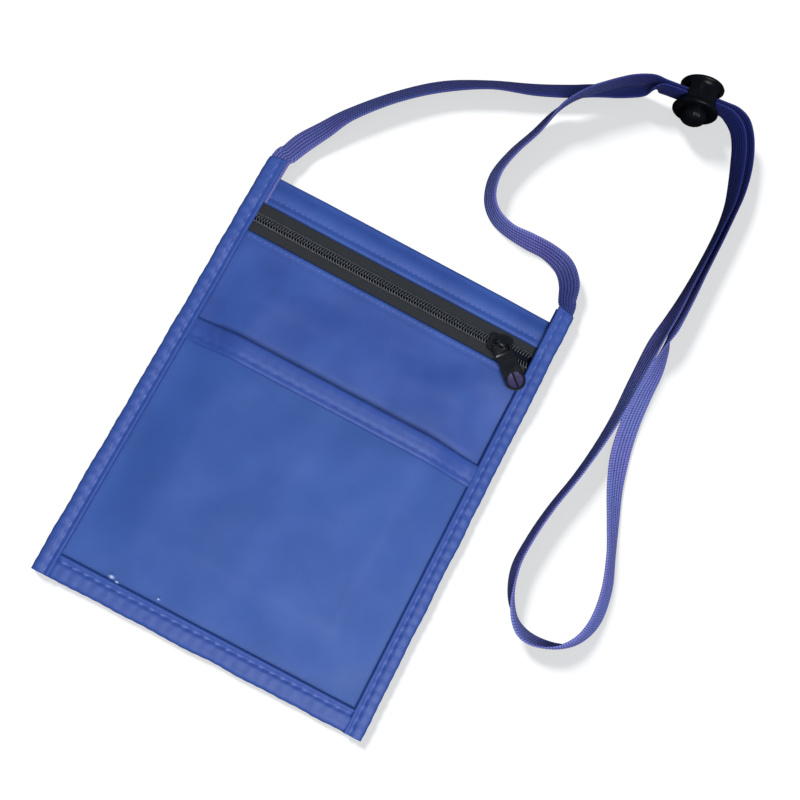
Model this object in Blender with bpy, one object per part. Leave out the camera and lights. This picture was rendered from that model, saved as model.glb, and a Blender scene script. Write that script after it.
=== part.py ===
"""Neck wallet: a flat fabric pouch with a zip pocket and a clear slip pocket on a flat neck strap.

The pouch lies on its back. +X runs to its right, +Y up to its zip and +Z out of its front.
The origin is under the middle of the pouch, on the surface that it lies on. Lengths are metres.
"""

import math

import bmesh
import bpy
from mathutils import Vector

# Pouch outline
POUCH_WIDTH = 0.145
POUCH_HEIGHT = 0.187
EAR_LENGTH = 0.006
SIDE_BINDING_WIDTH = 0.008
BOTTOM_BINDING_HEIGHT = 0.010
BINDING_FOLD_DEPTH = 0.0015
PANEL_TUCK = 0.0066

# Cloth thicknesses and the clearance between layers
FABRIC = 0.00045
WINDOW_SHEET = 0.0003
TAPE = 0.0004
LAYER_GAP = 0.00025

# Rows down the front of the pouch
BAND_HEIGHT = 0.0136
ZIP_SHOWN = 0.0133
ZIP_SEAM = 0.0065
PLAIN_HEIGHT = 0.0426
TRIM_HEIGHT = 0.0095
ZIP_RISE_LENGTH = 0.018

# Room inside the pockets and the rounded shoulders round it
MAIN_POCKET_ROOM = 0.0043
SLIP_POCKET_ROOM = 0.0042
SHOULDER = 0.024
SHOULDER_SHARES = (0.18, 0.36, 0.54, 0.76, 1.0)
TOP_FOLD_STEPS = 6
BAND_SHARES = (0.5, 1.0)
BACK_ROWS = 6
FRONT_ROWS = 4
ZIP_RISE_ROWS = 6

# Zip chain
TOOTH_PITCH = 0.00125
TOOTH_WIDTH = 0.0005
TEETH_HEIGHT = 0.0012
TEETH_OUTER_REACH = 0.00215
TEETH_ROOT_REACH = 0.00135
TOOTH_OVERLAP = 0.00045
TOOTH_POINT_LENGTH = 0.0002
TEETH_SEAT_GAP = 0.00015
TAPE_EDGE_REACH = 0.001
TEETH_PARTING = 0.0013
PARTING_LENGTH = 0.007
PARTING_STEPS = 6
CHAIN_END_TUCK = 0.0015

# Zip slider
SLIDER_TO_BINDING = 0.0148
SLIDER_LENGTH = 0.0096
SLIDER_NOSE_WIDTH = 0.0072
SLIDER_SHOULDER_WIDTH = 0.0098
SLIDER_FLARE_SHARE = 0.33
SLIDER_UNDER_PLATE = 0.0008
SLIDER_TOP_PLATE = 0.0009
SLIDER_EDGE_ROUND = 0.00035
SLIDER_TEETH_GAP = 0.0003
DIAMOND_WIDTH = 0.0011
DIAMOND_LENGTH_SHARE = 0.42
OVERRUN = 0.002

# Bridge over the slider and the pull that hangs in it
BRIDGE_WIDTH = 0.0016
BRIDGE_SPAN = 0.0042
BRIDGE_LEG = 0.0008
BRIDGE_CROWN = 0.00075
BRIDGE_CORNER = 0.0008
PULL_TURN = math.radians(-41)
PULL_LENGTH = 0.0207
PULL_THICKNESS = 0.0012
PULL_BAR_WIDTH = 0.0013
PULL_EYE_LENGTH = 0.00325
PULL_EYE_WIDTH = 0.0058
PULL_ROOT_WIDTH = 0.0080
PULL_TIP_WIDTH = 0.0088
PULL_ROOT_CORNER = 0.0007
PULL_EDGE_ROUND = 0.00025
PULL_FLOAT = 0.0003
PULL_TURNING_ROOM = 0.00045
THUMB_OVAL_LENGTH = 0.0062
THUMB_OVAL_WIDTH = 0.0046
THUMB_OVAL_DEPTH = 0.0003
THUMB_RIB_WIDTH = 0.0009

# Neck strap
STRAP_WIDTH = 0.0092
STRAP_THICKNESS = 0.0014
STRAP_SEWN_LENGTH = 0.0195
STRAP_FLOOR_GAP = 0.0001
STRAP_STEP = 0.020
LOCK_STRAIGHT_REACH = 0.0155
LOCK_EXIT_REACH = 0.0112
FLAT = 90.0

# Cord lock
LOCK_X_SHARE = 0.5345
LOCK_Y_SHARE = 1.1187
LOCK_TURN = math.radians(-82)
LOCK_FLANGE_RADIUS = 0.010
LOCK_HEAD_RADIUS = 0.0096
LOCK_WAIST_RADIUS = 0.0081
LOCK_HEAD_LENGTH = 0.0065
LOCK_FOOT_LENGTH = 0.0075
LOCK_LIP = 0.0021
LOCK_LIP_SLOPE = 0.0011
LOCK_EDGE_ROUND = 0.0005
LOCK_END_WALL = 0.00095
PLUNGER_RADIUS = 0.0057
PLUNGER_GAP = 0.00025
PLUNGER_STAND_OUT = 0.0056
PLUNGER_DOME = 0.0034
PLUNGER_EDGE_ROUND = 0.0003
PLUNGER_INNER_LIP = 0.0012
PLUNGER_TRAVEL = 0.0022
SLOT_WALL = 0.0041
STRAND_GAP = 0.0004
SPRING_RADIUS = 0.0040
SPRING_WIRE = 0.00045
SPRING_TURNS = 3.5
SPRING_POINTS_PER_TURN = 12
DOME_SHARES = (0.0, 0.35, 0.6, 0.8, 0.93)

# Fineness of rounds
ROUND_STEPS = 28
ARC_STEPS = 6
SMOOTH_ANGLE = 35
BEVEL_ANGLE = 50
WELD = 0.000005

# Places that follow from the sizes above
HALF_WIDTH = POUCH_WIDTH / 2
HALF_OPEN = HALF_WIDTH - SIDE_BINDING_WIDTH
BOTTOM_Y = -(POUCH_HEIGHT + EAR_LENGTH) / 2
TOP_Y = BOTTOM_Y + POUCH_HEIGHT
EAR_Y = TOP_Y + EAR_LENGTH
BINDING_TOP_Y = BOTTOM_Y + BOTTOM_BINDING_HEIGHT
BAND_LOW_Y = TOP_Y - BAND_HEIGHT
FRONT_TOP_Y = BAND_LOW_Y - ZIP_SHOWN
ZIP_Y = (BAND_LOW_Y + FRONT_TOP_Y) / 2
SLIDER_X = HALF_OPEN - SLIDER_TO_BINDING
TRIM_TOP_Y = FRONT_TOP_Y - PLAIN_HEIGHT
TRIM_LOW_Y = TRIM_TOP_Y - TRIM_HEIGHT
ZIP_RISE_LOW_Y = FRONT_TOP_Y - ZIP_SEAM - ZIP_RISE_LENGTH
PANEL_HALF = HALF_OPEN + PANEL_TUCK
PANEL_LOW_Y = BINDING_TOP_Y - PANEL_TUCK
SHOULDER_LOW_Y = BINDING_TOP_Y

# Heights of the layers at the pouch's edges and over the full pockets
BACK_EDGE_Z = FABRIC + LAYER_GAP
FRONT_EDGE_Z = BACK_EDGE_Z + FABRIC + LAYER_GAP
TRIM_ROOM = FABRIC + LAYER_GAP
TRIM_DEPTH = WINDOW_SHEET + 2 * TRIM_ROOM
WINDOW_EDGE_Z = FRONT_EDGE_Z + FABRIC + LAYER_GAP + TRIM_ROOM
BINDING_EDGE_Z = WINDOW_EDGE_Z + WINDOW_SHEET + LAYER_GAP + FABRIC
FRONT_FULL_Z = FABRIC + MAIN_POCKET_ROOM
WINDOW_FULL_Z = FRONT_FULL_Z + FABRIC + SLIP_POCKET_ROOM + TRIM_ROOM
SLIDER_LOW_Z = BACK_EDGE_Z + FABRIC + LAYER_GAP
TAPE_Z = SLIDER_LOW_Z + SLIDER_UNDER_PLATE + LAYER_GAP
ZIP_FABRIC_Z = TAPE_Z + TAPE + LAYER_GAP
TEETH_Z = TAPE_Z + TAPE + TEETH_SEAT_GAP
TEETH_TOP_Z = TEETH_Z + TEETH_HEIGHT
SLIDER_PLATE_Z = TEETH_TOP_Z + LAYER_GAP
SLIDER_TOP_Z = SLIDER_PLATE_Z + SLIDER_TOP_PLATE
STRAP_SEWN_Z = ZIP_FABRIC_Z + FABRIC + LAYER_GAP
BINDING_EAR_Z = STRAP_SEWN_Z + STRAP_THICKNESS + LAYER_GAP + FABRIC
PULL_LOW_Z = BINDING_EAR_Z + PULL_FLOAT
PULL_AXIS_Z = PULL_LOW_Z + PULL_THICKNESS / 2
STRAP_SEWN_X = HALF_OPEN + PANEL_TUCK - STRAP_WIDTH / 2

# The cord lock's place on the surface
LOCK_X = POUCH_WIDTH * LOCK_X_SHARE
LOCK_Y = POUCH_HEIGHT * LOCK_Y_SHARE

# Places along the cord lock's own axis, from its centre towards the plunger's dome
STRAND_OUTER_FACE = SLOT_WALL - STRAP_THICKNESS - LAYER_GAP
STRAND_STACK = 2 * STRAP_THICKNESS + STRAND_GAP
SLOT_HIGH = STRAND_OUTER_FACE + LAYER_GAP
PLUNGER_SLOT_LOW = STRAND_OUTER_FACE - STRAND_STACK - LAYER_GAP
SLOT_LOW = PLUNGER_SLOT_LOW - PLUNGER_TRAVEL
PLUNGER_SLOT_HIGH = SLOT_HIGH + PLUNGER_TRAVEL
NEAR_STRAND = STRAND_OUTER_FACE - STRAP_THICKNESS / 2
FAR_STRAND = NEAR_STRAND - STRAP_THICKNESS - STRAND_GAP
SLOT_HEIGHT = STRAP_WIDTH + 2 * LAYER_GAP
BORE_RADIUS = PLUNGER_RADIUS + PLUNGER_GAP
BORE_FLOOR = LOCK_END_WALL - LOCK_HEAD_LENGTH
PLUNGER_INNER_END = PLUNGER_SLOT_LOW - PLUNGER_INNER_LIP
PLUNGER_TIP = LOCK_FOOT_LENGTH + PLUNGER_STAND_OUT

# The strap's route over the surface. Each row holds x as a share of the pouch's width, y as a
# share of its height, the lift above the resting height as a share of the strap's width, and
# the lean of the upper edge to the right of the run, in degrees from standing on edge.
LEFT_EAR_TO_LOCK_SHARES = (
    (-0.4524, 0.5401, 0.326, 88.0),
    (-0.4352, 0.5802, 0.174, 84.0),
    (-0.4014, 0.6299, 0.043, 70.0),
    (-0.3559, 0.6925, 0.000, 54.0),
    (-0.2641, 0.7813, 0.000, 50.0),
    (-0.1593, 0.8578, 0.000, 52.0),
    (-0.0393, 0.9166, 0.000, 46.0),
    (0.0862, 0.9604, 0.000, 56.0),
    (0.1897, 1.0032, 0.000, 60.0),
    (0.2414, 1.0278, 0.000, 60.0),
    (0.2931, 1.0492, 0.000, 60.0),
    (0.3414, 1.0658, 0.152, 48.0),
    (0.3876, 1.0834, 0.370, 24.0),
)
LOOP_SHARES = (
    (0.6497, 1.1139, 0.478, -8.0),
    (0.6828, 1.1005, 0.315, -15.0),
    (0.7090, 1.0759, 0.141, -20.0),
    (0.7290, 1.0428, 0.022, -23.0),
    (0.7483, 0.9947, 0.000, -19.0),
    (0.7648, 0.9332, 0.000, -10.0),
    (0.7690, 0.8610, 0.000, -2.0),
    (0.7669, 0.7807, 0.000, -3.0),
    (0.7614, 0.6979, 0.000, -8.0),
    (0.7579, 0.6150, 0.000, -11.0),
    (0.7510, 0.5321, 0.000, -3.0),
    (0.7469, 0.4492, 0.000, 1.0),
    (0.7414, 0.3663, 0.000, 0.0),
    (0.7283, 0.2834, 0.000, -3.0),
    (0.7083, 0.1952, 0.000, -4.0),
    (0.6828, 0.1075, 0.000, -4.0),
    (0.6676, 0.0267, 0.000, -3.0),
    (0.6662, -0.0481, 0.000, -2.0),
    (0.7014, -0.1203, 0.000, -2.0),
    (0.7634, -0.1620, 0.000, 6.0),
    (0.8421, -0.1594, 0.000, 0.0),
    (0.9048, -0.1262, 0.000, -20.0),
    (0.9317, -0.0690, 0.000, -34.0),
    (0.9241, 0.0027, 0.000, -41.0),
    (0.8945, 0.0722, 0.000, -37.0),
    (0.8600, 0.1417, 0.000, -40.0),
    (0.8241, 0.2155, 0.000, -52.0),
    (0.8000, 0.2914, 0.000, -61.0),
    (0.7869, 0.3636, 0.000, -57.0),
    (0.7848, 0.4332, 0.000, -48.0),
    (0.7876, 0.4947, 0.000, -42.0),
    (0.7883, 0.5455, 0.000, -18.0),
    (0.7828, 0.5989, 0.000, 7.0),
    (0.7793, 0.6684, 0.000, 11.0),
    (0.7821, 0.7487, 0.000, 5.0),
    (0.7855, 0.8289, 0.000, 1.0),
    (0.7841, 0.8984, 0.000, 4.0),
    (0.7772, 0.9599, 0.000, 15.0),
    (0.7641, 1.0160, 0.000, 21.0),
    (0.7455, 1.0604, 0.033, 23.0),
    (0.7221, 1.0952, 0.152, 20.0),
    (0.6910, 1.1203, 0.315, 15.0),
    (0.6524, 1.1294, 0.478, 8.0),
)
LOCK_TO_RIGHT_EAR_SHARES = (
    (0.3834, 1.1027, 0.598, -6.0),
    (0.3359, 1.0791, 0.674, -10.0),
    (0.2966, 1.0519, 0.696, -12.0),
    (0.2628, 1.0251, 0.696, -12.0),
    (0.2290, 0.9968, 0.674, -13.0),
    (0.2000, 0.9652, 0.620, -15.0),
    (0.1738, 0.9278, 0.326, -18.0),
    (0.1503, 0.8663, 0.054, -24.0),
    (0.1193, 0.7989, 0.000, -26.0),
    (0.1034, 0.7326, 0.000, -26.0),
    (0.1186, 0.6754, 0.000, -22.0),
    (0.1572, 0.6401, 0.000, -20.0),
    (0.2152, 0.6241, 0.000, -20.0),
    (0.2814, 0.6235, 0.000, -32.0),
    (0.3469, 0.6230, 0.000, -34.0),
    (0.4055, 0.6107, 0.022, -56.0),
    (0.4428, 0.5802, 0.196, -82.0),
    (0.4566, 0.5428, 0.348, -89.0),
)


def clear_scene():
    """Remove whatever the open file holds."""
    for old in list(bpy.data.objects):
        bpy.data.objects.remove(old, do_unlink=True)


def make_material(name, colour, roughness, metallic=0.0, alpha=1.0):
    """A Principled material of one colour."""
    material = bpy.data.materials.new(name)
    material.use_nodes = True
    shader = material.node_tree.nodes["Principled BSDF"]
    shader.inputs["Base Color"].default_value = (*colour, 1.0)
    shader.inputs["Roughness"].default_value = roughness
    shader.inputs["Metallic"].default_value = metallic
    shader.inputs["Alpha"].default_value = alpha
    return material


def blue_nylon():
    return make_material("blue_nylon", (0.045, 0.105, 0.40), 0.55)


def blue_tape():
    return make_material("blue_binding_tape", (0.050, 0.110, 0.42), 0.6)


def clear_vinyl():
    return make_material("clear_vinyl", (0.80, 0.86, 0.95), 0.12, alpha=0.25)


def black_weave():
    return make_material("black_zip_weave", (0.012, 0.012, 0.014), 0.8)


def black_coil():
    return make_material("black_zip_coil", (0.015, 0.015, 0.017), 0.4)


def black_enamel():
    return make_material("black_enamelled_metal", (0.010, 0.010, 0.012), 0.25, metallic=0.4)


def violet_strap():
    return make_material("violet_strap_weave", (0.055, 0.045, 0.30), 0.8)


def black_plastic():
    return make_material("black_moulded_plastic", (0.008, 0.008, 0.009), 0.35)


def spring_steel():
    return make_material("spring_steel", (0.55, 0.55, 0.57), 0.3, metallic=1.0)


def link_object(name, data, material):
    """Put a mesh or a curve in the scene under a name."""
    piece = bpy.data.objects.new(name, data)
    piece.data.materials.append(material)
    bpy.context.scene.collection.objects.link(piece)
    return piece


def finish_mesh(name, shape, material):
    """Turn a bmesh into a named object with its faces pointing out and its rounds smooth."""
    bmesh.ops.recalc_face_normals(shape, faces=shape.faces[:])
    mesh = bpy.data.meshes.new(name)
    shape.to_mesh(mesh)
    shape.free()
    mesh.shade_smooth()
    mesh.set_sharp_from_angle(angle=math.radians(SMOOTH_ANGLE))
    return link_object(name, mesh, material)


def ramp(distance, length):
    """Smooth rise from 0 to 1 over a length."""
    share = min(max(distance / length, 0.0), 1.0)
    return share * share * (3 - 2 * share)


def fullness(x, y):
    """How far the pockets stand open at a place: 0 at the seams, 1 inside the shoulders."""
    return ramp(HALF_OPEN - abs(x), SHOULDER) * ramp(y - SHOULDER_LOW_Y, SHOULDER)


def mix(low, high, share):
    return low + (high - low) * share


def zip_rise(y):
    """0 down the pockets, 1 where the front lies flat on the zip tape."""
    return ramp(y - ZIP_RISE_LOW_Y, ZIP_RISE_LENGTH)


def back_height(x, y):
    return mix(BACK_EDGE_Z, 0.0, fullness(x, y))


def front_height(x, y):
    pocket = mix(FRONT_EDGE_Z, FRONT_FULL_Z, fullness(x, y))
    return mix(pocket, ZIP_FABRIC_Z, zip_rise(y))


def window_height(x, y):
    return mix(WINDOW_EDGE_Z, WINDOW_FULL_Z, fullness(x, y))


def binding_height(y):
    """Outer height of the side bindings: low beside the window, full beside the zip and strap."""
    return mix(BINDING_EDGE_Z, BINDING_EAR_Z, zip_rise(y))


def cross_lines(half):
    """Places across the pouch, close together over the shoulders."""
    inner = [HALF_OPEN - SHOULDER * share for share in SHOULDER_SHARES]
    right = [half, HALF_OPEN] + inner
    middle_gap = inner[-1] / 2
    return [-x for x in right] + [-middle_gap, 0.0, middle_gap] + right[::-1]


def rising_lines(low, high, step_count):
    """Places up the pouch from its bottom edge, close together over the bottom shoulder."""
    shoulder = [SHOULDER_LOW_Y] + [SHOULDER_LOW_Y + SHOULDER * share for share in SHOULDER_SHARES]
    rest = [mix(shoulder[-1], high, step / step_count) for step in range(1, step_count + 1)]
    return [low] + shoulder + rest


def zip_rise_lines():
    """Places up the slope from the pockets to the zip, above its lowest line."""
    return [ZIP_RISE_LOW_Y + ZIP_RISE_LENGTH * step / ZIP_RISE_ROWS
            for step in range(1, ZIP_RISE_ROWS + 1)]


def grid_sheet(name, columns, rows, place, thickness, material):
    """A sheet whose corners a function places, thickened on the side its faces look to."""
    shape = bmesh.new()
    bmesh.ops.create_grid(shape, x_segments=len(columns) - 1, y_segments=len(rows) - 1, size=1.0)
    for corner in shape.verts:
        column = round((corner.co.x + 1) / 2 * (len(columns) - 1))
        row = round((corner.co.y + 1) / 2 * (len(rows) - 1))
        corner.co = place(columns[column], rows[row])
    mesh = bpy.data.meshes.new(name)
    shape.to_mesh(mesh)
    shape.free()
    mesh.shade_smooth()
    piece = link_object(name, mesh, material)
    wall = piece.modifiers.new("cloth thickness", "SOLIDIFY")
    wall.thickness = thickness
    wall.offset = 1.0
    return piece


def loft(name, rings, material):
    """One closed body through a row of closed outlines with as many points each."""
    shape = bmesh.new()
    corner_rings = [[shape.verts.new(point) for point in ring] for ring in rings]
    count = len(corner_rings[0])
    for near, far in zip(corner_rings, corner_rings[1:]):
        for index in range(count):
            after = (index + 1) % count
            shape.faces.new((near[index], near[after], far[after], far[index]))
    shape.faces.new(corner_rings[0][::-1])
    shape.faces.new(corner_rings[-1])
    return finish_mesh(name, shape, material)


def prism(name, outline, low, high, material):
    """An outline in X and Y, pulled up from one height to another."""
    shape = bmesh.new()
    floor = shape.faces.new([shape.verts.new((x, y, low)) for x, y in outline])
    raised = bmesh.ops.extrude_face_region(shape, geom=[floor], use_keep_orig=True)
    lifted = [item for item in raised["geom"] if isinstance(item, bmesh.types.BMVert)]
    bmesh.ops.translate(shape, verts=lifted, vec=(0, 0, high - low))
    return finish_mesh(name, shape, material)


def cutter(piece):
    """Mark a piece as a cutting shape that isn't part of the wallet."""
    piece.hide_render = True
    piece.display_type = "WIRE"
    return piece


def cut(piece, tool, operation="DIFFERENCE"):
    boolean = piece.modifiers.new("cut by " + tool.name, "BOOLEAN")
    boolean.operation = operation
    boolean.object = tool


def round_edges(piece, width, segments=2):
    bevel = piece.modifiers.new("rounded edges", "BEVEL")
    bevel.width = width
    bevel.segments = segments
    bevel.limit_method = "ANGLE"
    bevel.angle_limit = math.radians(BEVEL_ANGLE)


def folded_outline(depth, height, wall):
    """Section of a tape folded in two: its open edges at 0, its fold at the depth."""
    straight = depth - BINDING_FOLD_DEPTH
    outline = [(0.0, 0.0)]
    for step in range(ARC_STEPS + 1):
        turn = math.pi * (step / ARC_STEPS - 0.5)
        across = straight + BINDING_FOLD_DEPTH * math.cos(turn)
        outline.append((across, height / 2 * (1 + math.sin(turn))))
    outline.append((0.0, height))
    outline.append((0.0, height - wall))
    for step in range(ARC_STEPS + 1):
        turn = math.pi * (0.5 - step / ARC_STEPS)
        across = straight + (BINDING_FOLD_DEPTH - wall) * math.cos(turn)
        outline.append((across, height / 2 + (height / 2 - wall) * math.sin(turn)))
    outline.append((0.0, wall))
    return outline


def build_back_panel():
    """The back cloth, folded over the top edge and down to the zip as the band above it."""
    rows = [("back", y) for y in rising_lines(PANEL_LOW_Y, TOP_Y - ZIP_FABRIC_Z, BACK_ROWS)]
    rows += [("fold", step / TOP_FOLD_STEPS) for step in range(TOP_FOLD_STEPS + 1)]
    rows += [("band", share) for share in BAND_SHARES]

    def place(x, row):
        part, value = row
        if part == "back":
            return Vector((x, value, back_height(x, value)))
        low = back_height(x, TOP_Y)
        radius = (ZIP_FABRIC_Z + FABRIC - low) / 2
        if part == "fold":
            turn = math.pi * (value - 0.5)
            return Vector((x, TOP_Y - radius + radius * math.cos(turn),
                           low + radius + radius * math.sin(turn)))
        return Vector((x, mix(TOP_Y - radius, BAND_LOW_Y, value), ZIP_FABRIC_Z + FABRIC))

    return grid_sheet("back_panel", cross_lines(PANEL_HALF), rows, place, FABRIC, blue_nylon())


def build_front_panel():
    """The cloth below the zip, which runs down behind the window."""
    rows = rising_lines(PANEL_LOW_Y, ZIP_RISE_LOW_Y, FRONT_ROWS) + zip_rise_lines()
    rows.append(FRONT_TOP_Y)

    def place(x, y):
        return Vector((x, y, front_height(x, y)))

    return grid_sheet("front_panel", cross_lines(PANEL_HALF), rows, place, FABRIC, blue_nylon())


def build_window_panel():
    """The clear sheet of the slip pocket, open along its top edge."""
    rows = rising_lines(PANEL_LOW_Y, TRIM_TOP_Y - TRIM_DEPTH / 2, FRONT_ROWS)

    def place(x, y):
        return Vector((x, y, window_height(x, y)))

    return grid_sheet("window_panel", cross_lines(PANEL_HALF), rows, place, WINDOW_SHEET,
                      clear_vinyl())


def build_window_trim():
    """Folded tape over the window's top edge, fold up."""
    half = HALF_OPEN - LAYER_GAP
    section = folded_outline(TRIM_HEIGHT, TRIM_DEPTH, FABRIC)
    rings = []
    for x in [line for line in cross_lines(half) if abs(line) <= half]:
        low = window_height(x, TRIM_TOP_Y) - LAYER_GAP - FABRIC
        rings.append([Vector((x, TRIM_LOW_Y + across, low + up)) for across, up in section])
    return loft("window_trim", rings, blue_tape())


def build_bottom_binding():
    """Folded tape along the bottom edge, between the side bindings."""
    section = folded_outline(BOTTOM_BINDING_HEIGHT, BINDING_EDGE_Z, FABRIC)
    half = HALF_OPEN - LAYER_GAP
    rings = [[Vector((x, BINDING_TOP_Y - across, up)) for across, up in section]
             for x in (-half, half)]
    return loft("bottom_binding", rings, blue_tape())


def build_side_binding(name, side):
    """Folded tape down one side, which ends above the top edge as an ear round the strap."""
    rings = []
    for y in [BOTTOM_Y, ZIP_RISE_LOW_Y] + zip_rise_lines() + [TOP_Y, EAR_Y]:
        section = folded_outline(SIDE_BINDING_WIDTH, binding_height(y), FABRIC)
        rings.append([Vector((side * (HALF_OPEN + across), y, up)) for across, up in section])
    return loft(name, rings, blue_tape())


def parting(x):
    """How far the slider has pushed each row of teeth off the zip's middle line."""
    return TEETH_PARTING * ramp(x - (SLIDER_X - PARTING_LENGTH / 2), PARTING_LENGTH)


def parting_lines():
    """Places along the zip where its edges bend."""
    start = SLIDER_X - PARTING_LENGTH / 2
    return [start + PARTING_LENGTH * step / PARTING_STEPS for step in range(PARTING_STEPS + 1)]


def build_zip_tape(name, side):
    """Woven tape on one side of the zip, from its teeth to under the cloth that it is sewn to."""
    outer = ZIP_SHOWN / 2 + ZIP_SEAM
    stations = [-PANEL_HALF] + parting_lines() + [PANEL_HALF]
    inner_edge = [(x, ZIP_Y + side * (TAPE_EDGE_REACH + parting(x))) for x in stations]
    outer_edge = [(x, ZIP_Y + side * outer) for x in (PANEL_HALF, -PANEL_HALF)]
    return prism(name, inner_edge + outer_edge, TAPE_Z, TAPE_Z + TAPE, black_weave())


def build_zip_teeth(name, side, offset_share):
    """One row of teeth on its spine. The other row's teeth stand half a pitch further on."""
    half_length = HALF_OPEN + CHAIN_END_TUCK
    count = int((2 * half_length - TOOTH_WIDTH) / TOOTH_PITCH)
    first = -half_length + TOOTH_WIDTH + TOOTH_PITCH * offset_share

    def point(x, reach):
        return x, ZIP_Y + side * (reach + parting(x))

    outline = []
    for index in range(count):
        middle = first + TOOTH_PITCH * index
        left = middle - TOOTH_WIDTH / 2
        right = middle + TOOTH_WIDTH / 2
        outline.append(point(left, TEETH_ROOT_REACH))
        outline.append(point(left, TOOTH_POINT_LENGTH - TOOTH_OVERLAP))
        outline.append(point(middle, -TOOTH_OVERLAP))
        outline.append(point(right, TOOTH_POINT_LENGTH - TOOTH_OVERLAP))
        outline.append(point(right, TEETH_ROOT_REACH))
    last = first + TOOTH_PITCH * (count - 1) + TOOTH_WIDTH / 2
    outline.append(point(last, TEETH_OUTER_REACH))
    outline += [point(x, TEETH_OUTER_REACH) for x in parting_lines()[::-1]]
    outline.append(point(first - TOOTH_WIDTH / 2, TEETH_OUTER_REACH))
    return prism(name, outline, TEETH_Z, TEETH_TOP_Z, black_coil())


def slider_outline():
    """Plan of the slider: a narrow nose on the closed teeth, wide shoulders on the parted ones."""
    half = SLIDER_LENGTH / 2
    nose = SLIDER_NOSE_WIDTH / 2
    shoulder = SLIDER_SHOULDER_WIDTH / 2
    nose_corner = nose / 2
    flare = half * SLIDER_FLARE_SHARE
    upper = [(-half, nose - nose_corner), (-half + nose_corner / 2, nose), (-flare, nose),
             (flare, shoulder), (half - nose_corner / 2, shoulder),
             (half, shoulder - nose_corner / 2)]
    return upper + [(x, -y) for x, y in upper[::-1]]


def build_slider_channel():
    """The forked way through the slider: one channel at the nose, two behind the diamond."""
    half = SLIDER_LENGTH / 2 + OVERRUN
    nose = TEETH_OUTER_REACH + SLIDER_TEETH_GAP
    diamond_end = DIAMOND_WIDTH / 2
    diamond_tip = SLIDER_LENGTH / 2 - SLIDER_LENGTH * DIAMOND_LENGTH_SHARE
    bends = [x - SLIDER_X for x in parting_lines()]
    upper = [(-half, nose)] + [(x, nose + parting(SLIDER_X + x)) for x in bends]
    upper += [(half, nose + TEETH_PARTING), (half, diamond_end),
              (diamond_tip + DIAMOND_WIDTH, diamond_end)]
    outline = upper + [(diamond_tip, 0.0)] + [(x, -y) for x, y in upper[::-1]]
    channel = prism("slider_channel", outline, TAPE_Z - LAYER_GAP, SLIDER_PLATE_Z, black_enamel())
    return cutter(channel)


def build_slider_tape_slot():
    """The slot through both flanks of the slider, round the tapes."""
    half_length = SLIDER_LENGTH / 2 + OVERRUN
    half_width = SLIDER_SHOULDER_WIDTH / 2 + OVERRUN
    diamond_end = DIAMOND_WIDTH / 2
    diamond_tip = SLIDER_LENGTH / 2 - SLIDER_LENGTH * DIAMOND_LENGTH_SHARE
    upper = [(-half_length, half_width), (half_length, half_width), (half_length, diamond_end),
             (diamond_tip + DIAMOND_WIDTH, diamond_end)]
    outline = upper + [(diamond_tip, 0.0)] + [(x, -y) for x, y in upper[::-1]]
    slot = prism("slider_tape_slot", outline, TAPE_Z - LAYER_GAP, TAPE_Z + TAPE + LAYER_GAP,
                 black_enamel())
    return cutter(slot)


def build_slider_body(slider_mark):
    """Two plates round the teeth, held together by the diamond that parts them."""
    body = prism("slider_body", slider_outline(), SLIDER_LOW_Z, SLIDER_TOP_Z, black_enamel())
    round_edges(body, SLIDER_EDGE_ROUND)
    for tool in (build_slider_channel(), build_slider_tape_slot()):
        tool.parent = slider_mark
        cut(body, tool)
    body.parent = slider_mark
    return body


def corner_arc(centre_x, centre_z, radius, start, end):
    """Points of a quarter round."""
    points = []
    for step in range(ARC_STEPS):
        turn = math.radians(mix(start, end, step / (ARC_STEPS - 1)))
        points.append((centre_x + radius * math.cos(turn), centre_z + radius * math.sin(turn)))
    return points


def build_slider_bridge(slider_mark):
    """The arch on the slider's top that holds the pull's bar."""
    foot = SLIDER_TOP_Z + LAYER_GAP
    inner = BRIDGE_SPAN / 2
    outer = inner + BRIDGE_LEG
    ceiling = PULL_AXIS_Z + PULL_THICKNESS / 2 + PULL_TURNING_ROOM
    crown = ceiling + BRIDGE_CROWN
    section = [(outer, foot)]
    section += corner_arc(outer - BRIDGE_CORNER, crown - BRIDGE_CORNER, BRIDGE_CORNER, 0, 90)
    section += corner_arc(BRIDGE_CORNER - outer, crown - BRIDGE_CORNER, BRIDGE_CORNER, 90, 180)
    section += [(-outer, foot), (-inner, foot), (-inner, ceiling), (inner, ceiling), (inner, foot)]
    half = BRIDGE_WIDTH / 2
    rings = [[Vector((x, y, z)) for x, z in section] for y in (-half, half)]
    bridge = loft("slider_bridge", rings, black_enamel())
    bridge.parent = slider_mark
    return bridge


def pull_outline():
    """Plan of the pull: a square root round the bar, widening to a round thumb end."""
    back = -PULL_BAR_WIDTH / 2
    root = PULL_ROOT_WIDTH / 2
    tip = PULL_TIP_WIDTH / 2
    corner = PULL_ROOT_CORNER
    upper = [(back, root - corner), (back + corner / 2, root - corner / 4), (back + corner, root)]
    for step in range(ARC_STEPS + 1):
        turn = math.pi / 2 * (1 - step / ARC_STEPS)
        upper.append((PULL_LENGTH - tip + tip * math.cos(turn), tip * math.sin(turn)))
    lower = [(x, -y) for x, y in upper[::-1]]
    return upper + lower[1:]


def build_pull_eye():
    """The square eye that leaves the bar."""
    low = PULL_BAR_WIDTH / 2
    high = low + PULL_EYE_LENGTH
    half = PULL_EYE_WIDTH / 2
    outline = [(low, -half), (high, -half), (high, half), (low, half)]
    return cutter(prism("pull_eye", outline, -PULL_THICKNESS, PULL_THICKNESS, black_enamel()))


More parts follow.
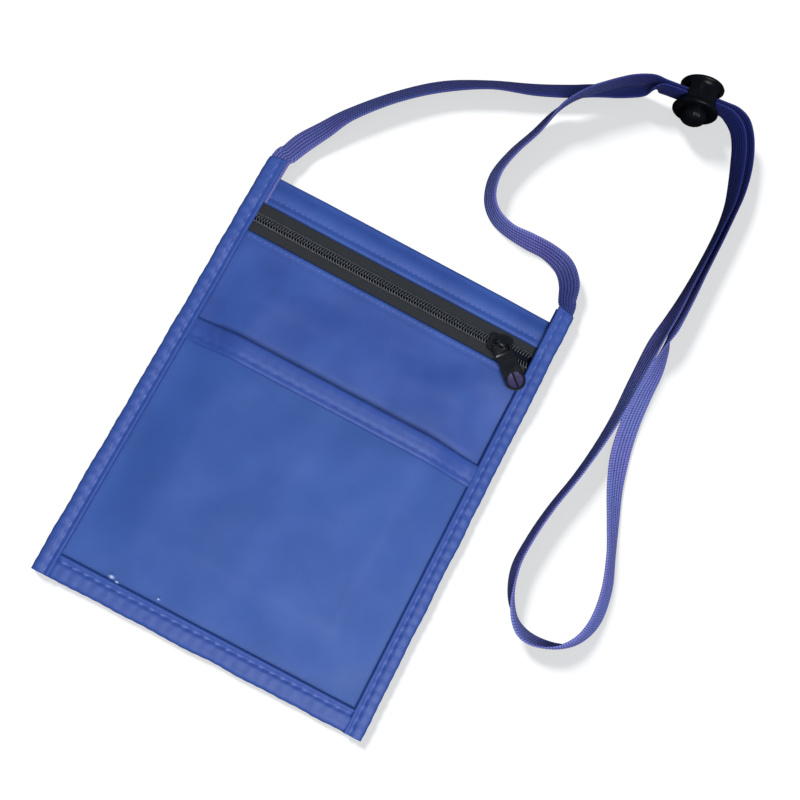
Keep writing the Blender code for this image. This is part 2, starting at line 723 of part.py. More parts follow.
def build_thumb_recess(side):
    """Half of the shallow oval in the thumb end, on one side of its rib."""
    middle = PULL_LENGTH - PULL_TIP_WIDTH / 2
    outline = []
    for step in range(2 * ARC_STEPS + 1):
        turn = math.pi * step / (2 * ARC_STEPS)
        across = THUMB_RIB_WIDTH / 2 + (THUMB_OVAL_WIDTH - THUMB_RIB_WIDTH) / 2 * math.sin(turn)
        outline.append((middle + THUMB_OVAL_LENGTH / 2 * math.cos(turn), side * across))
    floor = PULL_THICKNESS / 2 - THUMB_OVAL_DEPTH
    name = "thumb_recess_left" if side > 0 else "thumb_recess_right"
    return cutter(prism(name, outline, floor, PULL_THICKNESS, black_enamel()))


def build_pull_tab(slider_mark):
    """The pull. Its origin is on the bar that turns in the bridge."""
    half = PULL_THICKNESS / 2
    pull = prism("pull_tab", pull_outline(), -half, half, black_enamel())
    round_edges(pull, PULL_EDGE_ROUND)
    for tool in (build_pull_eye(), build_thumb_recess(1), build_thumb_recess(-1)):
        tool.parent = pull
        cut(pull, tool)
    pull.parent = slider_mark
    pull.location = (0, 0, PULL_AXIS_Z)
    pull.rotation_euler = (0, 0, PULL_TURN)
    return pull


def resting_height(lean):
    """Height of the strap's middle where it stands on the surface with this lean."""
    turn = math.radians(lean)
    return (STRAP_FLOOR_GAP + STRAP_WIDTH / 2 * abs(math.cos(turn))
            + STRAP_THICKNESS / 2 * abs(math.sin(turn)))


def lock_place(along_axis, along_strap):
    """A place in the cord lock, as the surface's X and Y."""
    axis_x, axis_y = math.cos(LOCK_TURN), math.sin(LOCK_TURN)
    return (LOCK_X + along_axis * axis_x - along_strap * axis_y,
            LOCK_Y + along_axis * axis_y + along_strap * axis_x)


def lock_points(strand, strap_places):
    """Route points on a straight line through the cord lock, standing on edge at its middle."""
    raised = LOCK_FLANGE_RADIUS - resting_height(0.0)
    return [(*lock_place(strand, place), raised, 0.0) for place in strap_places]


def placed(shares):
    """Route points from their shares of the pouch and the strap."""
    return [(x * POUCH_WIDTH, y * POUCH_HEIGHT, lift * STRAP_WIDTH, lean)
            for x, y, lift, lean in shares]


def strap_route():
    """The whole route from the left ear's seam to the right ear's, through the lock twice."""
    sewn_raise = STRAP_SEWN_Z + STRAP_THICKNESS / 2 - resting_height(FLAT)
    sewn_end = EAR_Y - STRAP_SEWN_LENGTH
    left = [(-STRAP_SEWN_X, y, sewn_raise, FLAT) for y in (sewn_end, EAR_Y)]
    right = [(STRAP_SEWN_X, y, sewn_raise, -FLAT) for y in (EAR_Y, sewn_end)]
    through = lock_points(NEAR_STRAND, (-LOCK_STRAIGHT_REACH, 0.0, LOCK_EXIT_REACH))
    returning = lock_points(FAR_STRAND, (LOCK_EXIT_REACH, 0.0, -LOCK_STRAIGHT_REACH))
    return (left + placed(LEFT_EAR_TO_LOCK_SHARES) + through + placed(LOOP_SHARES)
            + returning + placed(LOCK_TO_RIGHT_EAR_SHARES) + right)


def smooth_route(points, step):
    """Points on a smooth curve through the route, straight where three points are in line."""
    fine = []
    for index in range(len(points) - 1):
        before = points[max(index - 1, 0)]
        start = points[index]
        end = points[index + 1]
        after = points[min(index + 2, len(points) - 1)]
        span = math.dist(start[:2], end[:2])
        pieces = max(1, round(span / step))
        for piece in range(pieces):
            t = piece / pieces
            fine.append(tuple(
                0.5 * (2 * b + (c - a) * t + (2 * a - 5 * b + 4 * c - d) * t * t
                       + (3 * b - a - 3 * c + d) * t ** 3)
                for a, b, c, d in zip(before, start, end, after)))
    fine.append(points[-1])
    return fine


def build_neck_strap():
    """One flat strap from ear to ear."""
    route = smooth_route(strap_route(), STRAP_STEP)
    curve = bpy.data.curves.new("neck_strap", "CURVE")
    curve.dimensions = "3D"
    curve.twist_mode = "Z_UP"
    curve.fill_mode = "FULL"
    curve.use_fill_caps = True
    curve.bevel_depth = STRAP_THICKNESS / 2
    curve.bevel_resolution = 1
    curve.extrude = STRAP_WIDTH / 2 - STRAP_THICKNESS / 2
    curve.resolution_u = 1
    line = curve.splines.new("POLY")
    line.points.add(len(route) - 1)
    for point, (x, y, raised, lean) in zip(line.points, route):
        point.co = (x, y, resting_height(lean) + raised, 1.0)
        point.tilt = math.radians(lean)
    return link_object("neck_strap", curve, violet_strap())


def turned(name, profile, material, steps=ROUND_STEPS):
    """A solid turned about the X axis from a profile of places along it and radii."""
    shape = bmesh.new()
    corners = [shape.verts.new((along, 0.0, radius)) for along, radius in profile]
    edges = [shape.edges.new(pair) for pair in zip(corners, corners[1:])]
    bmesh.ops.spin(shape, geom=corners + edges, cent=(0, 0, 0), axis=(1, 0, 0),
                   angle=2 * math.pi, steps=steps, use_merge=True)
    bmesh.ops.remove_doubles(shape, verts=shape.verts[:], dist=WELD)
    return finish_mesh(name, shape, material)


def strap_slot(name, low, high):
    """A cutter for the way of both strands across the lock."""
    half_length = LOCK_FLANGE_RADIUS + OVERRUN
    outline = [(low, -half_length), (high, -half_length), (high, half_length), (low, half_length)]
    half_height = SLOT_HEIGHT / 2
    return cutter(prism(name, outline, -half_height, half_height, black_plastic()))


def set_on_lock_axis(piece):
    piece.location = (LOCK_X, LOCK_Y, LOCK_FLANGE_RADIUS)
    piece.rotation_euler = (0, 0, LOCK_TURN)


def build_lock_barrel():
    """Waisted barrel with a flared head and a wider foot, bored for the plunger."""
    head = -LOCK_HEAD_LENGTH
    foot = LOCK_FOOT_LENGTH
    edge = LOCK_EDGE_ROUND
    profile = [
        (head, 0.0),
        (head, LOCK_HEAD_RADIUS - edge),
        (head + edge, LOCK_HEAD_RADIUS),
        (head + LOCK_LIP - edge, LOCK_HEAD_RADIUS),
        (head + LOCK_LIP, LOCK_HEAD_RADIUS - edge),
        (head + LOCK_LIP + LOCK_LIP_SLOPE, LOCK_WAIST_RADIUS),
        (foot - LOCK_LIP - LOCK_LIP_SLOPE, LOCK_WAIST_RADIUS),
        (foot - LOCK_LIP, LOCK_FLANGE_RADIUS - edge),
        (foot - LOCK_LIP + edge, LOCK_FLANGE_RADIUS),
        (foot - edge, LOCK_FLANGE_RADIUS),
        (foot, LOCK_FLANGE_RADIUS - edge),
        (foot, BORE_RADIUS),
        (BORE_FLOOR, BORE_RADIUS),
        (BORE_FLOOR, 0.0),
    ]
    barrel = turned("lock_barrel", profile, black_plastic())
    slot = strap_slot("barrel_slot", SLOT_LOW, SLOT_HIGH)
    slot.parent = barrel
    cut(barrel, slot)
    set_on_lock_axis(barrel)
    return barrel


def build_lock_plunger():
    """The button: a rod with a domed end and a slot that clamps the strands."""
    dome_start = PLUNGER_TIP - PLUNGER_DOME
    profile = [(PLUNGER_INNER_END, 0.0),
               (PLUNGER_INNER_END, PLUNGER_RADIUS - PLUNGER_EDGE_ROUND),
               (PLUNGER_INNER_END + PLUNGER_EDGE_ROUND, PLUNGER_RADIUS)]
    for share in DOME_SHARES:
        across = PLUNGER_RADIUS * math.sqrt(1 - share * share)
        profile.append((dome_start + PLUNGER_DOME * share, across))
    profile.append((PLUNGER_TIP, 0.0))
    plunger = turned("lock_plunger", profile, black_plastic())
    slot = strap_slot("plunger_slot", PLUNGER_SLOT_LOW, PLUNGER_SLOT_HIGH)
    slot.parent = plunger
    cut(plunger, slot)
    set_on_lock_axis(plunger)
    return plunger


def build_lock_spring():
    """Coil spring between the bore's floor and the plunger's inner end."""
    start = BORE_FLOOR + LAYER_GAP + SPRING_WIRE / 2
    end = PLUNGER_INNER_END - LAYER_GAP - SPRING_WIRE / 2
    count = int(SPRING_TURNS * SPRING_POINTS_PER_TURN)
    curve = bpy.data.curves.new("lock_spring", "CURVE")
    curve.dimensions = "3D"
    curve.bevel_depth = SPRING_WIRE / 2
    curve.bevel_resolution = 1
    curve.use_fill_caps = True
    curve.resolution_u = 1
    line = curve.splines.new("POLY")
    line.points.add(count)
    for index, point in enumerate(line.points):
        turn = 2 * math.pi * index / SPRING_POINTS_PER_TURN
        along = mix(start, end, index / count)
        point.co = (along, SPRING_RADIUS * math.cos(turn), SPRING_RADIUS * math.sin(turn), 1.0)
    spring = link_object("lock_spring", curve, spring_steel())
    set_on_lock_axis(spring)
    return spring


def mark_slider():
    """The empty that the slider's pieces hang on, at the middle of the slider on the zip's line."""
    mark = bpy.data.objects.new("slider_mark", None)
    bpy.context.scene.collection.objects.link(mark)
    mark.location = (SLIDER_X, ZIP_Y, 0)
    return mark


def build_wallet():
    build_back_panel()
    build_front_panel()
    build_window_panel()
    build_window_trim()
    build_bottom_binding()
    build_side_binding("left_binding", -1)
    build_side_binding("right_binding", 1)
    build_zip_tape("upper_zip_tape", 1)
    build_zip_tape("lower_zip_tape", -1)
    build_zip_teeth("upper_zip_teeth", 1, 0.0)
    build_zip_teeth("lower_zip_teeth", -1, 0.5)
    slider_mark = mark_slider()
    build_slider_body(slider_mark)
    build_slider_bridge(slider_mark)
    build_pull_tab(slider_mark)
    build_neck_strap()
    build_lock_barrel()
    build_lock_plunger()
    build_lock_spring()


clear_scene()
build_wallet()
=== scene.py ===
"""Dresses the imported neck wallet: cloth, bindings, window film, zip, strap and cord lock.

The frame gives every place in metres. +X runs to the pouch's right, +Y up to its zip and +Z out
of its front, which lies face up on the floor.
"""

import math

import bmesh
import bpy
from mathutils import Matrix, Vector, noise


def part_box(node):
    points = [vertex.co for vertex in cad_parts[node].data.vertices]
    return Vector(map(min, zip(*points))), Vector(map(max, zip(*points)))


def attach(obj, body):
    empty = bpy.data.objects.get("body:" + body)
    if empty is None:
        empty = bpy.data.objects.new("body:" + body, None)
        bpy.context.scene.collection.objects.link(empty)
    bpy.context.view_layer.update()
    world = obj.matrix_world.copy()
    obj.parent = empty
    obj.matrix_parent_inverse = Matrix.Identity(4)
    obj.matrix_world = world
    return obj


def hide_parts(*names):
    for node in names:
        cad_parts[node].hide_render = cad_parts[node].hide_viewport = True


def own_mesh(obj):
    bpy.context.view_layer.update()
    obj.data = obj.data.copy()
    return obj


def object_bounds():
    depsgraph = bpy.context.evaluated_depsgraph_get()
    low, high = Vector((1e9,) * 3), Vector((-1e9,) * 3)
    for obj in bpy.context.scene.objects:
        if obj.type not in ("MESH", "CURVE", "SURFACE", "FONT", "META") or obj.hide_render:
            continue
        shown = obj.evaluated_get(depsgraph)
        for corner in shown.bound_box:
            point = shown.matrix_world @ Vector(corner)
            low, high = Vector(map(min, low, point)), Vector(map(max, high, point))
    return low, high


bl_info = {
    "name": "Neck Wallet Finish",
    "version": (1, 0, 0),
    "blender": (4, 5, 0),
    "location": "3D View > Sidebar > Neck Wallet",
    "description": "Dresses the packed neck wallet in cloth, film, zip, strap and cord lock",
    "category": "Object",
}

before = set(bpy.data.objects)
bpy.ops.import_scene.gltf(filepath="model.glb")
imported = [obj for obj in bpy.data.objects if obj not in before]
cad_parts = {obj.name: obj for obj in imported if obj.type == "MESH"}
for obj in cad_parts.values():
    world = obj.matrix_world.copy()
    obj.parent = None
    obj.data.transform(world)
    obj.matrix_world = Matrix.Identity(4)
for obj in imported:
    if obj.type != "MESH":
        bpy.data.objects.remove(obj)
CAD_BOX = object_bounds()

_, BACK_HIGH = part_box("back_panel")
FRONT_LOW, FRONT_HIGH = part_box("front_panel")
FILM_LOW, FILM_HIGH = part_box("window_panel")
TRIM_LOW, TRIM_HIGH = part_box("window_trim")
SIDE_LOW, SIDE_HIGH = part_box("right_binding")
FOOT_LOW, FOOT_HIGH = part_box("bottom_binding")
TAPE_LOW, TAPE_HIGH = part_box("upper_zip_tape")
TEETH_LOW, TEETH_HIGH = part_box("upper_zip_teeth")
_, BARREL_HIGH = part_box("lock_barrel")
SLIDER_LOW, SLIDER_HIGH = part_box("slider_body")
BRIDGE_LOW, BRIDGE_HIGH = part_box("slider_bridge")
PULL_LOW, PULL_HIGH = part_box("pull_tab")

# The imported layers
FABRIC = 0.00045
FILM = 0.0003
LAYER_GAP = 0.00025
SHOULDER = 0.024
ZIP_RISE_LENGTH = 0.018
ZIP_SEAM = 0.0065
HALF_OPEN = SIDE_LOW.x
HALF_PANEL = FRONT_HIGH.x
PANEL_LOW_Y = FRONT_LOW.y
FOOT_TOP_Y = FOOT_HIGH.y
FRONT_TOP_Y = FRONT_HIGH.y
TOP_Y = BACK_HIGH.y
BAND_LOW_Y = 0.0769
ZIP_Y = (BAND_LOW_Y + FRONT_TOP_Y) / 2
ZIP_RISE_LOW_Y = FRONT_TOP_Y - ZIP_SEAM - ZIP_RISE_LENGTH
BACK_EDGE_Z = FABRIC + LAYER_GAP
FRONT_EDGE_Z = 2 * BACK_EDGE_Z
FRONT_FULL_Z = FRONT_HIGH.z - FABRIC
ZIP_CLOTH_Z = BACK_HIGH.z - FABRIC
FILM_EDGE_Z = FILM_LOW.z
FILM_FULL_Z = FILM_HIGH.z - FILM
TRIM_DEPTH = FILM + 2 * (FABRIC + LAYER_GAP)
FOLD_DEPTH = 0.0015
FOLD_LENGTH = 0.0052

# The zip's slider and its parted teeth
SLIDER_X = (SLIDER_LOW.x + SLIDER_HIGH.x) / 2
PARTING = 0.0013
PARTING_LENGTH = 0.007
TAPE_EDGE_REACH = 0.001
SLIDER_LENGTH = 0.0096
NOSE_HALF = 0.0036
SHOULDER_HALF = 0.0049
THROAT_HALF = 0.00245
PULL_TURN = math.radians(-41)
PULL_LENGTH = 0.0207
PULL_THICKNESS = PULL_HIGH.z - PULL_LOW.z
PULL_AXIS = Vector((SLIDER_X, ZIP_Y, (PULL_LOW.z + PULL_HIGH.z) / 2))

# The neck strap
STRAP_WIDTH = 0.0092
STRAP_THICKNESS = 0.0014
KNIT_THICKNESS = 0.0016
STRAP_FLOOR_GAP = 0.0001
STRAP_SEWN_LENGTH = 0.0195
LEFT_SEWN_X = 0.0674
RIGHT_SEWN_X = 0.0682
LEFT_PINCH = 0.9
RIGHT_PINCH = 0.74
PINCH_LENGTH = 0.014
STRAP_SEWN_Z = 0.0038
LOCK_STRAIGHT_REACH = 0.0155
LOCK_EXIT_REACH = 0.0112
NEAR_STRAND = 0.00175
FAR_STRAND = -0.00005

# The cord lock
LOCK_PLACE = Vector((0.0775025, 0.2091969, BARREL_HIGH.z / 2))
LOCK_TURN = math.radians(-82)
LOCK_RADIUS = 0.010
LOCK_HEAD = -0.0065
LOCK_FOOT = 0.0075
BARREL_SLOT = (-0.0032, 0.0027)
PLUNGER_SLOT = (-0.0010, 0.0049)
PLUNGER_INNER_END = -0.0022
PLUNGER_TIP = 0.0131
PLUNGER_RADIUS = 0.0057
LOCK_WALL = 0.00095
SPRING_RADIUS = 0.0040
SPRING_WIRE = 0.00045
SPRING_TURNS = 3.5
SPRING_STEPS = 16
LOCK_MATRIX = Matrix.Translation(LOCK_PLACE) @ Matrix.Rotation(LOCK_TURN, 4, "Z")
DOME_HEIGHT = 0.0034
DOME_STEPS = 9
BORE_LIP = 0.0003
DOME_COLLAR = 0.0006

# The barrel's outline: places from its head, then before its foot, and radii
BARREL_HEAD_PROFILE = (
    (0.0, 0.0), (0.0, 0.0078), (0.0002, 0.0085), (0.0006, 0.0092), (0.0012, 0.0096),
    (0.0017, 0.0096), (0.0021, 0.0093), (0.0026, 0.0087), (0.0033, 0.0083), (0.0042, 0.0081),
)
BARREL_FOOT_PROFILE = (
    (0.0044, 0.0081), (0.0034, 0.0083), (0.0027, 0.0088), (0.0021, 0.0095), (0.0016, 0.0099),
    (0.0011, 0.0100), (0.0005, 0.0099), (0.0001, 0.0096), (0.0, 0.0092),
)

# The strap's route: x, y and lift above its resting height in millimetres, and lean in degrees
# from standing on edge
LEFT_EAR_TO_LOCK = (
    (-65.6, 101, 3, 88), (-63.1, 108.5, 1.6, 84), (-58.2, 117.79, 0.4, 70),
    (-51.61, 129.5, 0, 54), (-38.29, 146.1, 0, 50), (-23.1, 160.41, 0, 52), (-5.7, 171.4, 0, 46),
    (12.5, 179.59, 0, 56), (27.51, 187.6, 0, 60), (35, 192.2, 0, 60), (42.5, 196.2, 0, 60),
    (49.5, 199.3, 1.4, 58), (56.2, 202.7, 3.7, 52),
)
LOOP = (
    (94.21, 208.3, 4.4, -8), (99.01, 205.79, 2.9, -15), (102.8, 201.19, 1.3, -20),
    (105.7, 195, 0.2, -23), (108.5, 186.01, 0, -19), (110.9, 174.51, 0, -10),
    (111.5, 161.01, 0, -2), (111.2, 145.99, 0, -3), (110.4, 130.51, 0, -8), (109.4, 115, 0, -20),
    (108, 99.5, 0, -27), (107.4, 84, 0, -24), (106.9, 68.5, 0, -16), (105.4, 53, 0, -11),
    (102.7, 36.5, 0, -8), (99.01, 20.1, 0, -8), (96.8, 4.99, 0, -8), (96.6, -8.99, 0, -9),
    (101.7, -22.5, 0, 8), (110.69, -30.29, 0, 34), (122.1, -29.81, 0, 14),
    (131.2, -23.6, 0, -22), (135.1, -12.9, 0, -40), (133.99, 0.5, 0, -41), (129.7, 13.5, 0, -37),
    (124.5, 26.5, 0, -46), (119.09, 40.3, 0, -60), (115.4, 54.49, 0, -74),
    (113.6, 67.99, 0, -72), (113.2, 81.01, 0, -64), (113.5, 92.51, 0, -52),
    (113, 102.01, 0, -28), (112.75, 111.99, 0, 4), (113, 124.99, 0, 11), (113.4, 140.01, 0, 5),
    (113.9, 155, 0, 1), (113.69, 168, 0, 4), (112.69, 179.5, 0, 15), (110.79, 189.99, 0, 21),
    (108.1, 198.29, 0.3, 23), (104.7, 204.8, 1.4, 20), (100.19, 209.5, 2.9, 15),
    (94.6, 211.2, 4.4, 8),
)
LOCK_TO_RIGHT_EAR = (
    (55.59, 206.2, 5.5, 0), (48.71, 201.79, 6.2, 3), (43.01, 196.71, 6.4, 4),
    (38.11, 191.69, 6.4, 4), (33.2, 186.4, 6.2, 2), (29, 180.49, 5.7, -3), (25.2, 173.5, 3, -12),
    (21.79, 162, 0.5, -24), (17.3, 149.39, 0, -26), (14.99, 137, 0, -26), (17.2, 126.3, 0, -22),
    (22.79, 119.7, 0, -20), (31.2, 116.71, 0, -20), (40.8, 116.59, 0, -32),
    (50.3, 116.5, 0, -34), (58.8, 114.2, 0.2, -50), (64.21, 108.5, 0.8, -58),
    (66.61, 101.5, 1.8, -70),
)

# Where the strap is cupped across its width as it twists: x, y, reach, depth to its face side
CUPS = (
    (0.1020, -0.0230, 0.010, 0.0013),
    (0.1268, -0.0275, 0.010, -0.0013),
    (0.1130, 0.1060, 0.010, 0.0014),
    (0.0255, 0.1745, 0.009, 0.0008),
)

# Depths of the folded tapes and their stitching
SIDE_DEPTH = SIDE_HIGH.x - SIDE_LOW.x
FOOT_DEPTH = FOOT_HIGH.y - FOOT_LOW.y
TRIM_HEIGHT = TRIM_HIGH.y - TRIM_LOW.y
SIDE_STITCH_PITCH = 0.0048
TRIM_STITCH_PITCH = 0.0051
FINE_STITCH_PITCH = 0.0025
STITCH_SHARE = 0.5
FINE_STITCH_SHARE = 0.42
STITCH_LINE = 0.0027
ROLL_WIDTH = 0.0018
ROLL_SHARE = 0.55
TRIM_ROLL_SHARE = 0.2
SIDE_PUFF_SHARE = 0.6
FOOT_PUFF_SHARE = 0.35
TRIM_PUFF_SHARE = 0.25
CURL_SHARE = 0.4
BAND_STITCH_LINE = 0.0036
ZIP_STITCH_LINE = 0.0017
THREAD_RADIUS = 0.00026
THREAD_LIFT = THREAD_RADIUS * 0.45
THREAD_SINK = THREAD_RADIUS * 0.2
HEM_RISE = 0.0004
HEM_WIDTH = 0.0026
HEM_ROUNDING = 0.6
HEM_GROOVE_SHARE = 0.5
HEM_GATHER_SHARE = 0.45
HEM_AFTER_SHARE = 0.55
ZIP_HEM_REACH = 0.012
ZIP_HEM_FADE = 0.018
STITCH_EDGE = 0.0004
PUFF_RISE_LENGTH = 0.0022
PUFF_FALL_LENGTH = 0.0026
PUFF_SHARE = 0.36
PUFF_LOOSE_SHARE = 0.22
DIMPLE_SHARE = 0.34
DIMPLE_WIDTH = 0.0007
UNDER_STITCH_WIDTH = 0.0008
PUCKER_SINK = 0.0002
PUCKER_DEEP_SINK = 0.0008
PUCKER_LIFT = 0.0007
TRIM_LIFT = 0.0005
UNDER_LIFT = 0.00022
EDGE_WAVE = 0.00006
EAR_RISE_LENGTH = 0.003
EAR_SLANT = 0.0016
EAR_SLANT_LENGTH = 0.006
WAVER_SIZE = 0.012
TUCK = 0.0009
TUCK_SINK = 0.0005
FOOT_TUCK_LENGTH = 0.002
TRIM_TUCK_LENGTH = 0.003
# Name, side and seed
SIDES = (("left_edge_tape", -1, 11.0), ("right_edge_tape", 1, 23.0))

# Slow swells of the cloth: share of the full swell, size and seed
SWELL = 0.0005
BAND_SWELLS = ((0.5, 0.021, 3.0),)
FRONT_SWELLS = ((1.0, 0.030, 7.0), (0.4, 0.012, 9.0))
FILM_SWELLS = ((0.9, 0.034, 15.0), (0.3, 0.014, 17.0))
BAND_DROOP = 0.0011
TRIM_DIP = 0.0008
TRIM_DIP_WIDTH = 0.0016
BAND_DROOP_LENGTH = 0.0055
BAND_SWELL_FADE = 0.006
BAND_LIFT_FADE = 0.004

# Creases of the window's film, which also carry painted glints: x, y, reach, rise
CREASE_SLIMNESS = 1.6
FILM_CREASES = (
    (-0.0432, -0.0853, 0.0016, 0.0006),
    (-0.0405, -0.0862, 0.0010, 0.0004),
    (-0.0231, -0.0846, 0.0008, 0.0003),
)
# Colour of the glints painted on the film's creases
PAINTED_GLINT_COLOUR = (0.62, 0.72, 0.95, 1.0)
CREASE_STEP = 0.0003

# Zip coil, slider and pull
COIL_PITCH = 0.00125
COIL_WIRE = 0.00046
COIL_OVERLAP = 0.00045
COIL_REACH = 0.00215
COIL_END_TUCK = 0.0015
WIRE_SIDES = 6
COIL_SLANT_SHARE = 0.3
# One turn of the wire: shares of its pitch, of its reach across and of its height
COIL_TURN_SHARES = (
    (0.00, 1.00, 0.14),
    (0.00, 0.80, 0.00),
    (0.00, 0.45, 0.00),
    (0.00, 0.12, 0.04),
    (0.00, 0.00, 0.30),
    (0.00, 0.00, 0.72),
    (0.00, 0.12, 0.96),
    (0.00, 0.40, 1.00),
    (0.00, 0.75, 0.90),
    (0.12, 0.96, 0.66),
    (0.52, 1.00, 0.40),
    (0.88, 1.00, 0.24),
)
# The slider's half outline: shares of half its length and of its half width there
NOSE_SHARES = ((-1.0, 0.45), (-0.93, 0.75), (-0.8, 0.93), (-0.6, 1.0), (-0.25, 1.03))
SHOULDER_SHARES = ((0.1, 0.9), (0.4, 0.99), (0.7, 1.0), (0.92, 0.93), (1.0, 0.78))
DIAMOND_SHARE = 0.42
DIAMOND_HALF = 0.00055
SLIDER_ROUND = 0.0004
BRIDGE_LEG = 0.0008
BRIDGE_ROUND = 0.00025
ARCH_STEPS = 12
PULL_BAR_HALF = 0.00065
PULL_ROOT_HALF = 0.0040
# The pull's root: places from its end, and how far each is drawn in
PULL_ROOT = ((0.0, 0.0009), (0.0003, 0.0003), (0.0009, 0.0), (0.0035, 0.0))
PULL_TIP_HALF = 0.0044
PULL_TIP_STEPS = 10
PULL_TIP_START = math.radians(80)
PULL_EYE_LENGTH = 0.00325
PULL_EYE_HALF = 0.0029
PULL_ROUND = 0.0002
PULL_EDGE_ANGLE = 12
PULL_BAR_LENGTH = 0.0003
PULL_STEP_LENGTH = 0.0007
PULL_STEP_DEPTH = 0.0003
DISH_RADIUS = 0.0033
DISH_DEPTH = 0.0003
DISH_STEPS = 16
RIB_HALF = 0.0004

# Strap knit and cord lock grip
RIB_PITCH = 0.0014
ROW_PITCH = 0.0011
RIB_DEPTH = 0.00016
RIBBED_SHARE = 0.94
LOOP_GAP_SHARE = 0.35
STRAP_EDGE_SHARES = (1.0, 0.985)
STRAP_SERRATION = 0.025
# Painted shade on the strap: its fades along the loop and the two runs from the lock, its depth
# by the lock, and its length and depth by the right ear
LOOP_SHADE_FADE = (0.070, 0.160)
LEFT_SHADE_FADE = (-0.300, -0.010)
RIGHT_SHADE_FADE = (-0.130, -0.010)
LOCK_SHADE = 0.94
EAR_SHADE_LENGTH = 0.075
EAR_SHADE = 0.8
GRIP_COUNT = 20
GRIP_DEPTH = 0.05

# Fineness
CLOTH_STEP = 0.0015
FINE_STEP = 0.0006
ROUND_STEPS = 72
EDGE_ANGLE = 40
WELD = 0.000005
STRAP_WELD = 0.00001

SOCKET_KINDS = {1: "NodeSocketFloat", 3: "NodeSocketVector", 4: "NodeSocketColor"}

# Camera and lamps
CAMERA_PLACE = (0.01938, -0.05498, 0.44587)
CAMERA_AHEAD = (0.01005, 0.18894, -0.98194)
CAMERA_RIGHT = (0.88339, 0.45892, 0.09725)
KEY_DIRECTION = (0.26, -0.33, 0.91)
GLINT_DIRECTION = (-0.30, 0.42, 0.86)
FLOOR_LAMP_DIRECTION = (-0.700, 0.350, 0.622)
FLOOR_LAMP_SPREAD = math.radians(13)
LAMP_DISTANCE = 1.8
KEY_SIZE = 0.92
GLINT_SIZE = 0.24
WHITE = (1.0, 1.0, 1.0, 1.0)
FLOOR_SHADE = (0.8, 0.8, 0.8, 1.0)
BOUNCE_SHADE = (0.04, 0.04, 0.04, 1.0)
FILL_SHADE = (0.62, 0.79, 1.0, 1.0)


# Plain helpers for places and smooth changes

def ramp(distance, length):
    """Smooth rise from 0 to 1 over a length."""
    share = min(max(distance / length, 0.0), 1.0)
    return share * share * (3 - 2 * share)


def mix(low, high, share):
    return low + (high - low) * share


def bump(distance, half_width):
    """1 at the middle of a ridge or groove, falling away on both sides."""
    return math.exp(-(distance / half_width) ** 2)


def drift(x, y, size, seed):
    """Slow random change between about -1 and 1 that is the same each run."""
    return 2 * noise.noise(Vector((x / size, y / size, seed)))


def swelling(x, y, swells):
    return SWELL * sum(share * drift(x, y, size, seed) for share, size, seed in swells)


def even(low, high, step):
    """Places from low to high, about a step apart."""
    count = max(1, round(abs(high - low) / step))
    return [mix(low, high, index / count) for index in range(count + 1)]


def fullness(x, y):
    """How far the pockets stand open: 0 at the seams, 1 inside the shoulders."""
    return ramp(HALF_OPEN - abs(x), SHOULDER) * ramp(y - FOOT_TOP_Y, SHOULDER)


def zip_rise(y):
    """0 down the pockets, 1 where the front lies on the zip tape."""
    return ramp(y - ZIP_RISE_LOW_Y, ZIP_RISE_LENGTH)


def parting(x):
    """How far the slider has pushed each row of teeth off the zip's middle line."""
    return PARTING * ramp(x - (SLIDER_X - PARTING_LENGTH / 2), PARTING_LENGTH)


# Mesh helpers

def new_piece(name, shape, material, smooth_angle=None):
    """Turns a bmesh into a linked, smooth shaded object."""
    mesh = bpy.data.meshes.new(name)
    shape.to_mesh(mesh)
    shape.free()
    mesh.shade_smooth()
    if smooth_angle is not None:
        mesh.set_sharp_from_angle(angle=math.radians(smooth_angle))
    piece = bpy.data.objects.new(name, mesh)
    mesh.materials.append(material)
    bpy.context.scene.collection.objects.link(piece)
    return piece


def grid(across, along, place):
    """A bmesh grid whose corners `place` puts, with its flat size in metres as its UV map."""
    shape = bmesh.new()
    flat_map = shape.loops.layers.uv.new("flat")
    columns, rows = len(across) - 1, len(along) - 1
    bmesh.ops.create_grid(shape, x_segments=columns, y_segments=rows, size=1.0)
    flat = {}
    for corner in shape.verts:
        column = round((corner.co.x + 1) / 2 * columns)
        row = round((corner.co.y + 1) / 2 * rows)
        flat[corner] = (across[column], along[row])
        corner.co = place(column, row)
    for face in shape.faces:
        for loop in face.loops:
            loop[flat_map].uv = flat[loop.vert]
    return shape


def cloth(name, across, along, place, thickness, material):
    """A sheet of cloth: `place` puts its outer side, and its thickness goes inwards."""
    shape = grid(across, along, lambda column, row: place(across[column], along[row]))
    piece = new_piece(name, shape, material)
    wall = piece.modifiers.new("cloth thickness", "SOLIDIFY")
    wall.thickness = thickness
    wall.offset = 1.0
    return piece


def mirrored(upper):
    """An outline from its half above the X axis. Points on the axis aren't doubled."""
    return upper + [(x, -y) for x, y in upper[::-1] if y]


def frames_along(points):
    """Stations of a centre and two directions across the run, turning as little as they can."""
    stations = []
    last = None
    for index, point in enumerate(points):
        ahead = points[min(index + 1, len(points) - 1)] - points[max(index - 1, 0)]
        ahead.normalize()
        if last is None:
            last = ahead.orthogonal().normalized()
        last = (last - ahead * last.dot(ahead)).normalized()
        stations.append((point, last, ahead.cross(last)))
    return stations


def wire_tube(name, points, radius, material):
    """A round wire through the points."""
    turns = [2 * math.pi * side / WIRE_SIDES for side in range(WIRE_SIDES)]
    section = [(radius * math.cos(turn), radius * math.sin(turn)) for turn in turns]
    return tube(name, frames_along(points), section, material)


def distances_along(stations):
    """Length from the first station's centre to each station's."""
    along = [0.0]
    for (start, *_), (end, *_) in zip(stations, stations[1:]):
        along.append(along[-1] + (end - start).length)
    return along


